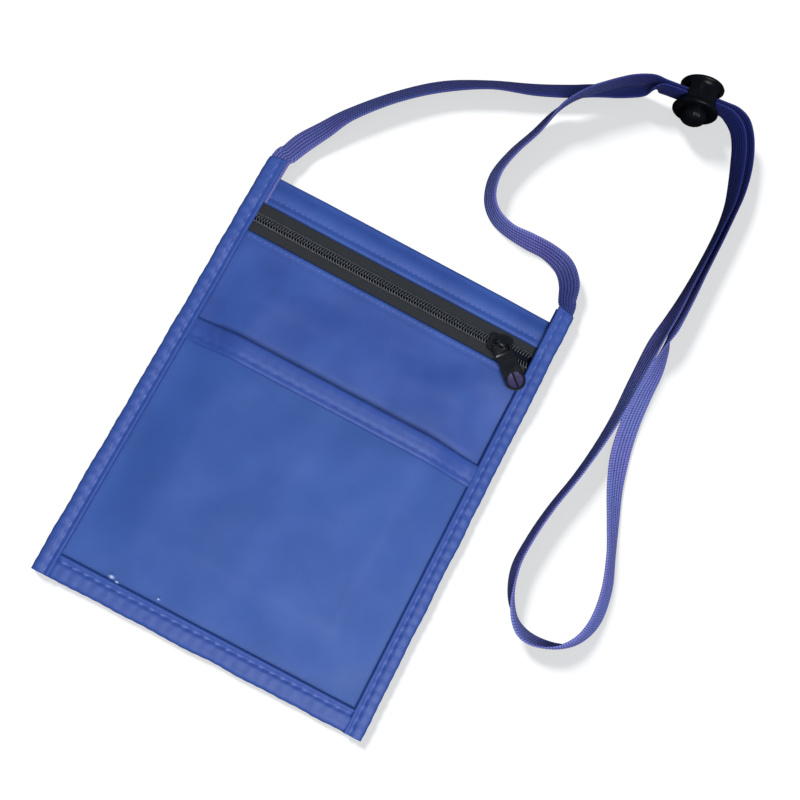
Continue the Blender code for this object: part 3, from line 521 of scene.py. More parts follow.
def tube(name, stations, section, material):
    """A closed outline swept through stations of a centre, a sideways and an upward direction."""
    ring = section + section[:1]
    around = [0.0]
    for start, end in zip(ring, ring[1:]):
        around.append(around[-1] + math.dist(start, end))

    def place(column, row):
        centre, sideways, upward = stations[row]
        a, b = ring[column]
        return centre + sideways * a + upward * b

    shape = grid(around, distances_along(stations), place)
    close_tube(shape, min(math.dist(a, b) for a, b in zip(section, section[1:])) / 10)
    return new_piece(name, shape, material)


def close_tube(shape, weld):
    """Joins the seam of a swept outline, over a distance, and closes its two ends."""
    bmesh.ops.remove_doubles(shape, verts=shape.verts[:], dist=weld)
    ends = [edge for edge in shape.edges if edge.is_boundary]
    bmesh.ops.holes_fill(shape, edges=ends, sides=0)
    bmesh.ops.recalc_face_normals(shape, faces=shape.faces[:])


def plate(outline, low, high):
    """An outline in X and Y pulled up from one height to another."""
    shape = bmesh.new()
    floor = shape.faces.new([shape.verts.new((x, y, low)) for x, y in outline])
    raised = bmesh.ops.extrude_face_region(shape, geom=[floor], use_keep_orig=True)
    lifted = [item for item in raised["geom"] if isinstance(item, bmesh.types.BMVert)]
    bmesh.ops.translate(shape, verts=lifted, vec=(0, 0, high - low))
    bmesh.ops.recalc_face_normals(shape, faces=shape.faces[:])
    return shape


def turned(profile, steps):
    """A solid turned about the X axis from places along it and radii."""
    shape = bmesh.new()
    corners = [shape.verts.new((along, 0.0, radius)) for along, radius in profile]
    edges = [shape.edges.new(pair) for pair in zip(corners, corners[1:])]
    bmesh.ops.spin(shape, geom=corners + edges, cent=(0, 0, 0), axis=(1, 0, 0),
                   angle=2 * math.pi, steps=steps, use_merge=True)
    bmesh.ops.remove_doubles(shape, verts=shape.verts[:], dist=WELD)
    bmesh.ops.recalc_face_normals(shape, faces=shape.faces[:])
    return shape


def cut(piece, *tools):
    """Cuts the tools out of a piece. The cut faces take the tool's material."""
    for tool in tools:
        boolean = piece.modifiers.new("cut by " + tool.name, "BOOLEAN")
        boolean.operation = "DIFFERENCE"
        boolean.solver = "EXACT"
        boolean.material_mode = "TRANSFER"
        boolean.object = tool


def round_edges(piece, width, segments):
    edges = piece.modifiers.new("rounded edges", "BEVEL")
    edges.width = width
    edges.segments = segments
    edges.limit_method = "ANGLE"
    edges.angle_limit = math.radians(EDGE_ANGLE)
    edges.harden_normals = False


def settle(piece, place, tools=(), sharp_angle=EDGE_ANGLE):
    """Puts the finished shape in place in its own mesh, and removes its cutting tools."""
    bpy.context.view_layer.update()
    graph = bpy.context.evaluated_depsgraph_get()
    finished = bpy.data.meshes.new_from_object(piece.evaluated_get(graph))
    finished.name = piece.name
    piece.modifiers.clear()
    piece.data = finished
    piece.data.transform(place)
    piece.data.shade_smooth()
    piece.data.set_sharp_from_angle(angle=math.radians(sharp_angle))
    for tool in tools:
        bpy.data.objects.remove(tool)
    return piece


# Shader node helpers

def node(tree, kind, **settings):
    made = tree.nodes.new(kind)
    for name, value in settings.items():
        setattr(made, name, value)
    return made


def math_node(tree, operation, first, second=None, third=None):
    """A Math node whose inputs are numbers or sockets."""
    made = node(tree, "ShaderNodeMath", operation=operation)
    for socket, value in zip(made.inputs, (first, second, third)):
        feed(tree, socket, value)
    return made.outputs["Value"]


def feed(tree, socket, value):
    if value is None:
        return
    if isinstance(value, bpy.types.NodeSocket):
        tree.links.new(value, socket)
    else:
        socket.default_value = value


def mix_colour(tree, share, first, second, blend="MIX"):
    made = node(tree, "ShaderNodeMix", data_type="RGBA", blend_type=blend)
    feed(tree, made.inputs["Factor"], share)
    feed(tree, made.inputs["A"], first)
    feed(tree, made.inputs["B"], second)
    return made.outputs["Result"]


def title(name):
    """The label of a socket or group from its name in the code."""
    return name.replace("_", " ").title().replace("Ior", "IOR")


def noise_node(tree, scale, **settings):
    """Noise over the piece's own object coordinates."""
    made = node(tree, "ShaderNodeTexNoise")
    place = node(tree, "ShaderNodeTexCoord").outputs["Object"]
    for label, value in dict(vector=place, scale=scale, **settings).items():
        feed(tree, made.inputs[title(label)], value)
    return made.outputs["Fac"]


def split_place(tree, place):
    """The X, Y and Z sockets of a place."""
    parts = node(tree, "ShaderNodeSeparateXYZ")
    feed(tree, parts.inputs[0], place)
    return parts.outputs


def ridges(tree, count):
    """1 at every whole number of the count, 0 halfway between."""
    wave = math_node(tree, "COSINE", math_node(tree, "MULTIPLY", count, 2 * math.pi))
    return math_node(tree, "MULTIPLY_ADD", wave, 0.5, 0.5)


def new_group(name, outputs, **inputs):
    """A shader node group, with its given and its put sockets.

    An input's default makes it a value, a place or a colour by having one, three or four numbers.
    """
    group = bpy.data.node_groups.new(name, "ShaderNodeTree")
    for label, default in inputs.items():
        size = len(default) if isinstance(default, tuple) else 1
        socket = group.interface.new_socket(name=title(label), in_out="INPUT",
                                            socket_type=SOCKET_KINDS[size])
        socket.default_value = default
    for label in outputs:
        group.interface.new_socket(name=label, in_out="OUTPUT",
                                   socket_type=SOCKET_KINDS[4 if label == "Colour" else 1])
    given, put = group.nodes.new("NodeGroupInput"), group.nodes.new("NodeGroupOutput")
    return group, given.outputs, put.inputs


def coated_weave(name):
    """Plain weave with slow changes of shade, for coated cloth and tape."""
    group, given, put = new_group(
        name, ("Colour", "Roughness", "Height"), flat_place=(0.0, 0.0, 0.0),
        colour=(0.05, 0.1, 0.4, 1.0), light_shade=(0.07, 0.14, 0.5, 1.0), thread_pitch=0.0004,
        mottle_size=0.02, mottle=0.6, roughness=0.5)
    threads = split_place(group, given["Flat Place"])
    turns = math_node(group, "DIVIDE", 2 * math.pi, given["Thread Pitch"])
    warp, weft = (math_node(group, "SINE", math_node(group, "MULTIPLY", threads[way], turns))
                  for way in "XY")
    weave = math_node(group, "MULTIPLY", warp, weft)
    slow = noise_node(group, math_node(group, "DIVIDE", 1.0, given["Mottle Size"]), detail=3.0,
                      roughness=0.55)
    grain = noise_node(group, 1800.0, detail=2.0)
    share = math_node(group, "MULTIPLY", smooth_range(group, slow, 0.36, 0.66), given["Mottle"])
    shade = mix_colour(group, share, given["Colour"], given["Light Shade"])
    speck = math_node(group, "MULTIPLY_ADD", weave, 0.05,
                      math_node(group, "MULTIPLY_ADD", grain, 0.16, 0.92))
    speckled = node(group, "ShaderNodeVectorMath", operation="SCALE")
    feed(group, speckled.inputs[0], shade)
    feed(group, speckled.inputs["Scale"], speck)
    feed(group, put["Colour"], speckled.outputs[0])
    feed(group, put["Roughness"], math_node(group, "MULTIPLY_ADD", slow, -0.12,
                                            math_node(group, "ADD", given["Roughness"], 0.06)))
    feed(group, put["Height"], math_node(group, "MULTIPLY_ADD", grain, 0.6, weave))
    return group


def ribbed_knit(name):
    """Lengthwise ribs crossed by rows of loops, with painted shade in the grooves, for the strap
    and the zip's tape.
    """
    group, given, put = new_group(
        name, ("Colour", "Height"), flat_place=(0.0, 0.0, 0.0),
        deep_colour=(0.02, 0.02, 0.1, 1.0), crown_colour=(0.08, 0.06, 0.4, 1.0),
        rib_pitch=0.0014, row_pitch=0.001, edge_start=1.0, edge_end=2.0)
    lie = split_place(group, given["Flat Place"])
    ribs = math_node(group, "DIVIDE", lie["X"], given["Rib Pitch"])
    rows = math_node(group, "DIVIDE", lie["Y"], given["Row Pitch"])
    rib = ridges(group, ribs)
    row = ridges(group, math_node(group, "MULTIPLY_ADD", ribs, 0.5, rows))
    edge = smooth_range(group, math_node(group, "ABSOLUTE", lie["X"]), given["Edge Start"],
                        given["Edge End"])
    middle = math_node(group, "MULTIPLY", math_node(group, "POWER", rib, 0.7),
                       math_node(group, "MULTIPLY_ADD", row, 0.5, 0.5))
    selvedge = math_node(group, "MULTIPLY_ADD", row, 0.75, 0.25)
    difference = math_node(group, "SUBTRACT", selvedge, middle)
    loops = math_node(group, "MULTIPLY_ADD", edge, difference, middle)
    crown = math_node(group, "MULTIPLY_ADD", noise_node(group, 900.0), 0.3,
                      math_node(group, "MULTIPLY", loops, 0.85))
    # Painted shade: the deep colour darkens the grooves between the loops
    feed(group, put["Colour"],
         mix_colour(group, crown, given["Deep Colour"], given["Crown Colour"]))
    feed(group, put["Height"], loops)
    return group


def handling_wear(name):
    """Faint cloudy wear on gloss black plastic, enamel and metal."""
    group, given, put = new_group(
        name, ("Colour", "Roughness", "Height"), colour=(0.01, 0.01, 0.01, 1.0),
        worn_colour=(0.03, 0.03, 0.03, 1.0), roughness=0.3)
    cloud = noise_node(group, 260.0, detail=4.0)
    feed(group, put["Colour"], mix_colour(group, cloud, given["Colour"], given["Worn Colour"]))
    feed(group, put["Roughness"],
         math_node(group, "MULTIPLY_ADD", cloud, 0.2, given["Roughness"]))
    feed(group, put["Height"], noise_node(group, 1500.0))
    return group


def start_material(name, **constants):
    """A material with its Principled shader's plain values set."""
    material = bpy.data.materials.new(name)
    material.use_nodes = True
    shader = material.node_tree.nodes["Principled BSDF"]
    for label, value in constants.items():
        shader.inputs[title(label)].default_value = value
    return material, material.node_tree, shader


def place_group(tree, builder, **values):
    """A node group, built the first time, with its inputs set by name."""
    name = title(builder.__name__)
    group = bpy.data.node_groups.get(name) or builder(name)
    made = node(tree, "ShaderNodeGroup", node_tree=group)
    for label, value in values.items():
        feed(tree, made.inputs[title(label)], value)
    return made.outputs


def add_bump(tree, shader, height, depth, strength):
    made = node(tree, "ShaderNodeBump")
    made.inputs["Strength"].default_value = strength
    made.inputs["Distance"].default_value = depth
    tree.links.new(height, made.inputs["Height"])
    tree.links.new(made.outputs["Normal"], shader.inputs["Normal"])


def mix_shaders(tree, share, first, second):
    made = node(tree, "ShaderNodeMixShader")
    for socket, value in zip(made.inputs, (share, first, second)):
        feed(tree, socket, value)
    return made.outputs[0]


def group_finish(name, builder, constants, depth=0.0, strength=0.5, **values):
    """A material whose colour, roughness and bump of a depth come from one node group.

    A roughness among the shader's plain constants takes the place of the group's.
    """
    material, tree, shader = start_material(name, **constants)
    if builder is not handling_wear:
        values["flat_place"] = flat_place(tree)
    look = place_group(tree, builder, **values)
    feed(tree, shader.inputs["Base Color"], look["Colour"])
    if "roughness" not in constants:
        feed(tree, shader.inputs["Roughness"], look["Roughness"])
    if depth:
        add_bump(tree, shader, look["Height"], depth, strength)
    return material


def smooth_range(tree, value, low, high):
    """0 up to the low value, 1 from the high one, smooth between."""
    made = node(tree, "ShaderNodeMapRange", interpolation_type="SMOOTHSTEP")
    for label, given in (("Value", value), ("From Min", low), ("From Max", high)):
        feed(tree, made.inputs[label], given)
    return made.outputs["Result"]


def opaque(colour):
    return (*colour, 1.0)


def lighter(colour, times):
    return tuple(min(1.0, value * times) for value in colour)


# Surfaces of the cloth pieces

def back_height(x, y):
    return mix(BACK_EDGE_Z, 0.0, fullness(x, y))


def front_height(x, y):
    pocket = mix(FRONT_EDGE_Z, FRONT_FULL_Z, fullness(x, y))
    return mix(pocket, ZIP_CLOTH_Z, zip_rise(y))


def film_height(x, y):
    return mix(FILM_EDGE_Z, FILM_FULL_Z, fullness(x, y))


def hem(distance, place_along, stitch_pitch, stitch_line):
    """Rise of a turned and stitched edge above the flat cloth, by distance from the edge."""
    roll = math.sin(math.pi * min(distance / HEM_WIDTH, 1.0)) ** HEM_ROUNDING
    groove = -HEM_GROOVE_SHARE * bump(distance - stitch_line, HEM_WIDTH / 4)
    wave = math.cos(2 * math.pi * place_along / stitch_pitch)
    gather = HEM_GATHER_SHARE * wave * bump(distance - stitch_line, HEM_WIDTH / 3)
    after = HEM_AFTER_SHARE * ramp(distance - stitch_line, HEM_WIDTH)
    return HEM_RISE * (roll + groove + gather + after)


def band_top(x, y):
    """Outer height of the band between the zip and the top edge."""
    edge = ramp(HALF_OPEN - abs(x), HEM_WIDTH)
    below_fold = TOP_Y - FOLD_DEPTH - y
    droop = BAND_DROOP * (1 - ramp(below_fold, BAND_DROOP_LENGTH))
    swell = swelling(x, y, BAND_SWELLS) * ramp(TOP_Y - y, BAND_SWELL_FADE)
    lift = hem(y - BAND_LOW_Y, x, FINE_STITCH_PITCH, BAND_STITCH_LINE) + max(swell, 0.0)
    return ZIP_CLOTH_Z + FABRIC - droop + lift * edge * ramp(below_fold, BAND_LIFT_FADE)


def front_top(x, y):
    """Outer height of the front cloth, which also runs down behind the window."""
    edge = ramp(HALF_OPEN - abs(x), SHOULDER / 2)
    below_zip = FRONT_TOP_Y - y
    swell = swelling(x, y, FRONT_SWELLS) * edge
    swell *= ramp(below_zip - ZIP_HEM_REACH / 3, ZIP_HEM_REACH)
    if below_zip < ZIP_HEM_REACH:
        seam = hem(below_zip, x, FINE_STITCH_PITCH, ZIP_STITCH_LINE)
    else:
        left = ZIP_HEM_REACH + ZIP_HEM_FADE - below_zip
        seam = HEM_RISE * HEM_AFTER_SHARE * ramp(left, ZIP_HEM_FADE)
    dip = TRIM_DIP * edge * bump(y - TRIM_HIGH.y - TRIM_DIP_WIDTH / 2, TRIM_DIP_WIDTH)
    lift = swell + seam * ramp(HALF_OPEN - abs(x), HEM_WIDTH) - dip
    return front_height(x, y) + FABRIC + lift


def film_top(x, y):
    """Outer height of the clear window film."""
    swell = swelling(x, y, FILM_SWELLS) * fullness(x, y)
    lift = sum(crease[3] * bump(crease_distance(x, y, crease), crease[2])
               for crease in FILM_CREASES)
    return film_height(x, y) + FILM + swell + lift


def crease_distance(x, y, crease):
    """Distance from a crease's middle, measured so that the crease lies longer across."""
    return math.hypot(x - crease[0], (y - crease[1]) * CREASE_SLIMNESS)


def tape_outer(along_flat, crown, depth, height, bottom_lift):
    """Section of a folded tape: distance out from its open edges and outer height."""
    straight = depth - FOLD_DEPTH
    if along_flat <= straight:
        return along_flat, crown
    if along_flat < straight + FOLD_LENGTH:
        turn = math.pi * (0.5 - (along_flat - straight) / FOLD_LENGTH)
        middle = height / 2
        return straight + FOLD_DEPTH * math.cos(turn), middle + middle * math.sin(turn)
    return 2 * straight + FOLD_LENGTH - along_flat, bottom_lift


def pucker(distance, place_along, pitch, depth, seed, roll_share=ROLL_SHARE, puff_share=1.0):
    """Shape of a stitched tape across its depth: a rolled edge, a groove, then loose puffs."""
    curled = -CURL_SHARE * (1 - ramp(distance, ROLL_WIDTH * 0.4))
    roll = roll_share * bump(distance - ROLL_WIDTH * 0.5, ROLL_WIDTH * 0.42)
    count = place_along / pitch + 0.2 * puff_share * drift(place_along, seed, pitch * 3, seed)
    wave = 0.5 + 0.5 * math.cos(2 * math.pi * (count + distance / depth * 0.3))
    loose = 0.5 + 0.5 * drift(place_along, distance, pitch * 0.8, seed + 3)
    rise = (ramp(distance - STITCH_LINE + STITCH_EDGE, PUFF_RISE_LENGTH)
            * ramp(depth - distance, PUFF_FALL_LENGTH))
    puff = rise * (PUFF_SHARE + puff_share * (PUFF_SHARE * wave + PUFF_LOOSE_SHARE * loose))
    dimple = -DIMPLE_SHARE * bump(distance - STITCH_LINE, DIMPLE_WIDTH) * wave
    return curled + roll + puff + dimple


def side_top(distance, y, seed):
    """Outer height of a side binding at a distance out from its inner edge."""
    strap_under = ramp(y - SIDE_HIGH.y + STRAP_SEWN_LENGTH + EAR_RISE_LENGTH, EAR_RISE_LENGTH)
    beside_zip = zip_rise(y) * (1 - strap_under)
    base = mix(FOOT_HIGH.z, SIDE_HIGH.z, zip_rise(y))
    sink = mix(PUCKER_SINK, PUCKER_DEEP_SINK, beside_zip)
    lift = mix(PUCKER_LIFT, 0.0, zip_rise(y)) + PUCKER_LIFT * 0.4 * strap_under
    shape = pucker(distance, y - SIDE_LOW.y, SIDE_STITCH_PITCH, SIDE_DEPTH, seed,
                   puff_share=SIDE_PUFF_SHARE)
    return base - sink + (sink + lift) * shape


def foot_top(distance, x):
    shape = pucker(distance, x - FOOT_LOW.x, SIDE_STITCH_PITCH, FOOT_DEPTH, 31.0,
                   puff_share=FOOT_PUFF_SHARE)
    tucked = TUCK_SINK * (1 - ramp(HALF_OPEN + TUCK - abs(x), FOOT_TUCK_LENGTH))
    return FOOT_HIGH.z - PUCKER_SINK - tucked + (PUCKER_SINK + PUCKER_LIFT) * shape


def trim_top(distance, x):
    """Outer height of the window's trim, by distance up from its open edge."""
    base = film_height(x, TRIM_HIGH.y) - FABRIC - LAYER_GAP + TRIM_DEPTH
    edge = ramp(HALF_OPEN + TUCK - abs(x), TRIM_TUCK_LENGTH)
    base -= TUCK_SINK * (1 - edge)
    shape = pucker(distance, x - FOOT_LOW.x, TRIM_STITCH_PITCH, TRIM_HEIGHT, 47.0,
                   TRIM_ROLL_SHARE, TRIM_PUFF_SHARE)
    return base - PUCKER_SINK + (PUCKER_SINK + TRIM_LIFT * edge) * shape


# Materials

def blue_cloth(colours):
    return group_finish("blue_cloth", coated_weave, {"specular_ior_level": 0.35},
                        depth=0.00003, colour=opaque(colours.cloth),
                        light_shade=opaque(colours.cloth_light), mottle=0.7, mottle_size=0.026,
                        roughness=0.5)


def binding_tape(colours):
    return group_finish("binding_tape", coated_weave, {"specular_ior_level": 0.4},
                        depth=0.00004, colour=opaque(colours.tape),
                        light_shade=opaque(colours.tape_light), mottle=0.4, mottle_size=0.0038,
                        thread_pitch=0.0005, roughness=0.45)


def flat_place(tree):
    """The piece's own flat map, in metres."""
    return node(tree, "ShaderNodeUVMap", uv_map="flat").outputs["UV"]


def clear_film(colours):
    """Clear vinyl, with cloudy haze and painted glints, white and more opaque, where it is
    creased.
    """
    material, tree, shader = start_material("clear_film", ior=1.5, specular_ior_level=0.12)
    haze = noise_node(tree, 45.0, detail=4.0)
    painted_glint = node(tree, "ShaderNodeAttribute", attribute_name="painted_glint").outputs["Fac"]
    shade = mix_colour(tree, haze, opaque(colours.film), opaque(lighter(colours.film, 1.5)))
    # Painted glints: the crease mask whitens the film and makes it more opaque
    feed(tree, shader.inputs["Base Color"], mix_colour(tree, painted_glint, shade, PAINTED_GLINT_COLOUR))
    feed(tree, shader.inputs["Roughness"], math_node(tree, "MULTIPLY_ADD", haze, 0.2, 0.2))
    feed(tree, shader.inputs["Alpha"], math_node(tree, "MULTIPLY_ADD", painted_glint, 0.76, 0.14))
    return material


def cloth_lining(colours):
    """Painted shade on the inner side of the back cloth: near black, for the dark inside of the
    pouch.
    """
    return group_finish("cloth_lining", coated_weave,
                        {"roughness": 0.8, "specular_ior_level": 0.2},
                        colour=opaque(lighter(colours.cloth, 0.04)),
                        light_shade=opaque(lighter(colours.cloth, 0.07)))


def zip_weave(colours):
    return group_finish("zip_weave", ribbed_knit, {"roughness": 0.8, "specular_ior_level": 0.3},
                        depth=0.0001, strength=0.8,
                        # Painted shade in the grooves and painted light on the crowns of the knit
                        deep_colour=opaque(lighter(colours.zip_tape, 0.35)),
                        crown_colour=opaque(lighter(colours.zip_tape, 1.5)), rib_pitch=0.0007,
                        row_pitch=0.0012)


def handled_finish(name, colour, worn_times, specular, roughness, depth=0.0):
    """A gloss finish, paler by a factor where it is handled."""
    return group_finish(name, handling_wear, {"specular_ior_level": specular}, depth=depth,
                        strength=0.4, colour=opaque(colour),
                        worn_colour=opaque(lighter(colour, worn_times)), roughness=roughness)


def zip_filament(colours):
    return handled_finish("zip_filament", colours.coil, worn_times=2.0, specular=0.9,
                          roughness=0.3)


def black_enamel(colours):
    return handled_finish("black_enamel", colours.enamel, worn_times=2.2, specular=0.5,
                          roughness=0.1, depth=0.00001)


def tinted_dish(colours):
    """The violet tint at the bottom of the pull's thumb dish."""
    return handled_finish("tinted_dish", colours.dish, worn_times=2.0, specular=0.6,
                          roughness=0.2)


def lock_plastic(colours):
    return handled_finish("lock_plastic", colours.lock, worn_times=2.5, specular=0.12,
                          roughness=0.2, depth=0.00002)


def spring_wire():
    return group_finish("spring_wire", handling_wear, {"metallic": 1.0},
                        colour=(0.5, 0.5, 0.52, 1.0), worn_colour=(0.62, 0.62, 0.63, 1.0),
                        roughness=0.22)


def strap_knit(colours, lock_first, lock_last, whole):
    """Ribbed knit, with painted shade: deep navy by the lock and nearly as deep by the right ear.

    The first two lengths along the strap are where it goes through the lock.
    """
    material, tree, shader = start_material("strap_knit", roughness=0.55, specular_ior_level=0.25,
                                            sheen_weight=0.06, sheen_roughness=0.4)
    violet = smooth_range(tree, noise_node(tree, 34.0), 0.35, 0.65)
    flat = flat_place(tree)
    along = split_place(tree, flat)["Y"]
    # Painted shade: a share that darkens the strap by the lock, fading along the loop and the
    # runs towards the ears, and again by the right ear
    middle, half = (lock_first + lock_last) / 2, (lock_last - lock_first) / 2
    from_middle = math_node(tree, "ABSOLUTE", math_node(tree, "SUBTRACT", along, middle))
    in_loop = smooth_range(tree, math_node(tree, "SUBTRACT", half, from_middle),
                           *LOOP_SHADE_FADE)
    from_left = math_node(tree, "SUBTRACT", along, lock_first)
    to_right = math_node(tree, "SUBTRACT", lock_last, along)
    shade = math_node(tree, "MULTIPLY", smooth_range(tree, from_left, *LEFT_SHADE_FADE),
                      smooth_range(tree, to_right, *RIGHT_SHADE_FADE))
    shade = math_node(tree, "MULTIPLY", shade, math_node(tree, "SUBTRACT", 1.0, in_loop))
    shade = math_node(tree, "MULTIPLY", shade, LOCK_SHADE)
    by_ear = smooth_range(tree, along, whole - EAR_SHADE_LENGTH, whole - STRAP_SEWN_LENGTH)
    shade = math_node(tree, "MULTIPLY_ADD", by_ear, EAR_SHADE, shade)
    crown = mix_colour(tree, violet, opaque(colours.strap), opaque(colours.strap_violet))
    # Both the grooves and the crowns take the painted shade
    knit = place_group(tree, ribbed_knit, flat_place=flat,
                       deep_colour=mix_colour(tree, shade, opaque(colours.strap_deep),
                                              opaque(lighter(colours.strap_deep, 0.4))),
                       crown_colour=mix_colour(tree, shade, crown, opaque(colours.strap_navy)),
                       rib_pitch=RIB_PITCH, row_pitch=ROW_PITCH, edge_start=STRAP_WIDTH * 0.3,
                       edge_end=STRAP_WIDTH * 0.46)
    feed(tree, shader.inputs["Base Color"], knit["Colour"])
    add_bump(tree, shader, knit["Height"], depth=0.00018, strength=0.8)
    return material


def sewing_thread(colours):
    material, tree, shader = start_material("sewing_thread", roughness=0.5, sheen_weight=0.2)
    feed(tree, shader.inputs["Base Color"],
         mix_colour(tree, noise_node(tree, 1400.0), opaque(lighter(colours.thread, 0.7)),
                    opaque(lighter(colours.thread, 1.25))))
    return material


def made_once(builder, *values):
    """A material by its builder's name, built the first time."""
    return bpy.data.materials.get(builder.__name__) or builder(*values)


# Pieces

def dress(piece, body, slot, *nodes):
    """The piece rides on a body and stands for CAD nodes, which it hides. Its slot is not used.
    """
    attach(piece, body)
    if nodes:
        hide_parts(*nodes)
    return piece


def build_back_cloth(colours):
    """The back cloth, folded over the top edge and down to the zip."""
    radius = (ZIP_CLOTH_Z + FABRIC - BAND_DROOP) / 2
    back_length = TOP_Y - radius - PANEL_LOW_Y
    fold_length = math.pi * radius
    band_length = TOP_Y - radius - BAND_LOW_Y

    def place(x, along):
        if along <= back_length:
            y = PANEL_LOW_Y + along
            return Vector((x, y, back_height(x, y)))
        low = back_height(x, TOP_Y)
        bend = (ZIP_CLOTH_Z + FABRIC - BAND_DROOP - low) / 2
        if along < back_length + fold_length:
            turn = math.pi * ((along - back_length) / fold_length - 0.5)
            return Vector((x, TOP_Y - radius + bend * math.cos(turn),
                           low + bend + bend * math.sin(turn)))
        y = TOP_Y - radius - (along - back_length - fold_length)
        return Vector((x, y, band_top(x, y) - curl(y - BAND_LOW_Y)))

    along = even(0.0, back_length, CLOTH_STEP)
    along += even(back_length, back_length + fold_length, FINE_STEP)[1:]
    along += even(back_length + fold_length, back_length + fold_length + band_length,
                  FINE_STEP)[1:]
    # The inner side takes the lining's painted shade; the outer side and the rims take the blue
    # cloth
    piece = cloth("back_cloth", even(-HALF_PANEL, HALF_PANEL, 2 * FINE_STEP), along, place,
                  FABRIC, made_once(cloth_lining, colours))
    piece.data.materials.append(made_once(blue_cloth, colours))
    piece.modifiers["cloth thickness"].material_offset = 1
    piece.modifiers["cloth thickness"].material_offset_rim = 1
    return dress(piece, "pouch", "blue_nylon", "back_panel")


def curl(distance):
    """How far a turned edge bends down at its very end."""
    return FABRIC * 0.8 * (1 - ramp(distance, FABRIC * 1.5))


def build_front_cloth(colours):
    """The front cloth, from under the zip down behind the window."""
    rows = even(PANEL_LOW_Y, FRONT_TOP_Y - ZIP_HEM_REACH, CLOTH_STEP)
    rows += even(FRONT_TOP_Y - ZIP_HEM_REACH, FRONT_TOP_Y, FINE_STEP)[1:]

    def place(x, y):
        return Vector((x, y, front_top(x, y) - FABRIC - curl(FRONT_TOP_Y - y)))

    piece = cloth("front_cloth", even(-HALF_PANEL, HALF_PANEL, 2 * FINE_STEP), rows, place,
                  FABRIC, made_once(blue_cloth, colours))
    return dress(piece, "pouch", "blue_nylon", "front_panel")


def build_window_film(colours):
    top = FILM_HIGH.y

    def place(x, y):
        return Vector((x, y, film_top(x, y) - FILM))

    crease_reach = 4 * max(reach for _, _, reach, _ in FILM_CREASES)
    low_x, high_x = FILM_CREASES[0][0] - crease_reach, FILM_CREASES[-1][0] + crease_reach
    middle_y = FILM_CREASES[0][1]
    columns = (even(-HALF_PANEL, low_x, CLOTH_STEP) + even(low_x, high_x, CREASE_STEP)[1:]
               + even(high_x, HALF_PANEL, CLOTH_STEP)[1:])
    rows = (even(PANEL_LOW_Y, middle_y - crease_reach, CLOTH_STEP)
            + even(middle_y - crease_reach, middle_y + crease_reach, CREASE_STEP)[1:]
            + even(middle_y + crease_reach, top, CLOTH_STEP)[1:])
    piece = cloth("window_film", columns, rows, place, FILM, made_once(clear_film, colours))
    # Painted glints: a mask over the film's creases, which the film's material reads
    painted_glint = piece.data.attributes.new("painted_glint", "FLOAT", "POINT")
    for corner, mark in zip(piece.data.vertices, painted_glint.data):
        mark.value = min(1.0, sum(bump(crease_distance(corner.co.x, corner.co.y, crease),
                                       crease[2] * 0.6) for crease in FILM_CREASES))
    return dress(piece, "pouch", "clear_vinyl", "window_panel")


def tape_lines(depth):
    """Places across a folded tape's flat width, close together over its top."""
    straight = depth - FOLD_DEPTH
    lines = even(0.0, straight, FINE_STEP * 0.55)
    lines += even(straight, straight + FOLD_LENGTH, FINE_STEP)[1:]
    return lines + even(straight + FOLD_LENGTH, 2 * straight + FOLD_LENGTH, FINE_STEP * 2)[1:]


def tape_section(flat, depth, top, under=0.0):
    """A folded tape's distance out and height. `top` gives its outer height by distance out."""
    straight = depth - FOLD_DEPTH
    crown = top(flat) if flat <= straight else 0.0
    return tape_outer(flat, crown, depth, top(straight), under)


def under_stitch(flat, depth):
    """Rise of a tape's lower side over the stitches on the surface."""
    return UNDER_LIFT * bump(2 * (depth - FOLD_DEPTH) + FOLD_LENGTH - flat - STITCH_LINE,
                             UNDER_STITCH_WIDTH)


def edge_wave(out, depth, along, turn, row, seed):
    """How far a stitched tape's folded edge wavers outwards."""
    straight = depth - FOLD_DEPTH
    wave = math.cos(2 * math.pi * along / SIDE_STITCH_PITCH + turn)
    wave += 3 * drift(*row, WAVER_SIZE, seed)
    return EDGE_WAVE * wave * ramp(out - straight / 2, straight / 2)


def build_side_binding(name, side, seed, colours):
    """Folded and stitched tape down one side, which ends in the ear round the strap."""

    def place(flat, y):
        out, up = tape_section(flat, SIDE_DEPTH, lambda distance: side_top(distance, y, seed),
                               under_stitch(flat, SIDE_DEPTH))
        at_ear = ramp(y - SIDE_HIGH.y + EAR_SLANT_LENGTH, EAR_SLANT_LENGTH)
        slant = at_ear * EAR_SLANT * (0.5 - out / SIDE_DEPTH)
        wave = edge_wave(out, SIDE_DEPTH, y - SIDE_LOW.y, 2.0, (y, seed), seed)
        return Vector((side * (HALF_OPEN + out + wave), y + slant, up))

    rows = even(SIDE_LOW.y, SIDE_HIGH.y, FINE_STEP)[::-side]
    flats = tape_lines(SIDE_DEPTH)
    piece = cloth(name, flats, rows, place, FABRIC, made_once(binding_tape, colours))
    return dress(piece, "pouch", "blue_binding_tape",
                 "right_binding" if side > 0 else "left_binding")


def build_cross_tape(name, depth, place, stands_for, colours):
    """Folded and stitched tape across the pouch, with its ends tucked under the side tapes."""
    flats = tape_lines(depth)
    columns = even(HALF_OPEN + TUCK, -HALF_OPEN - TUCK, FINE_STEP)
    piece = cloth(name, flats, columns, place, FABRIC, made_once(binding_tape, colours))
    return dress(piece, "pouch", "blue_binding_tape", stands_for)


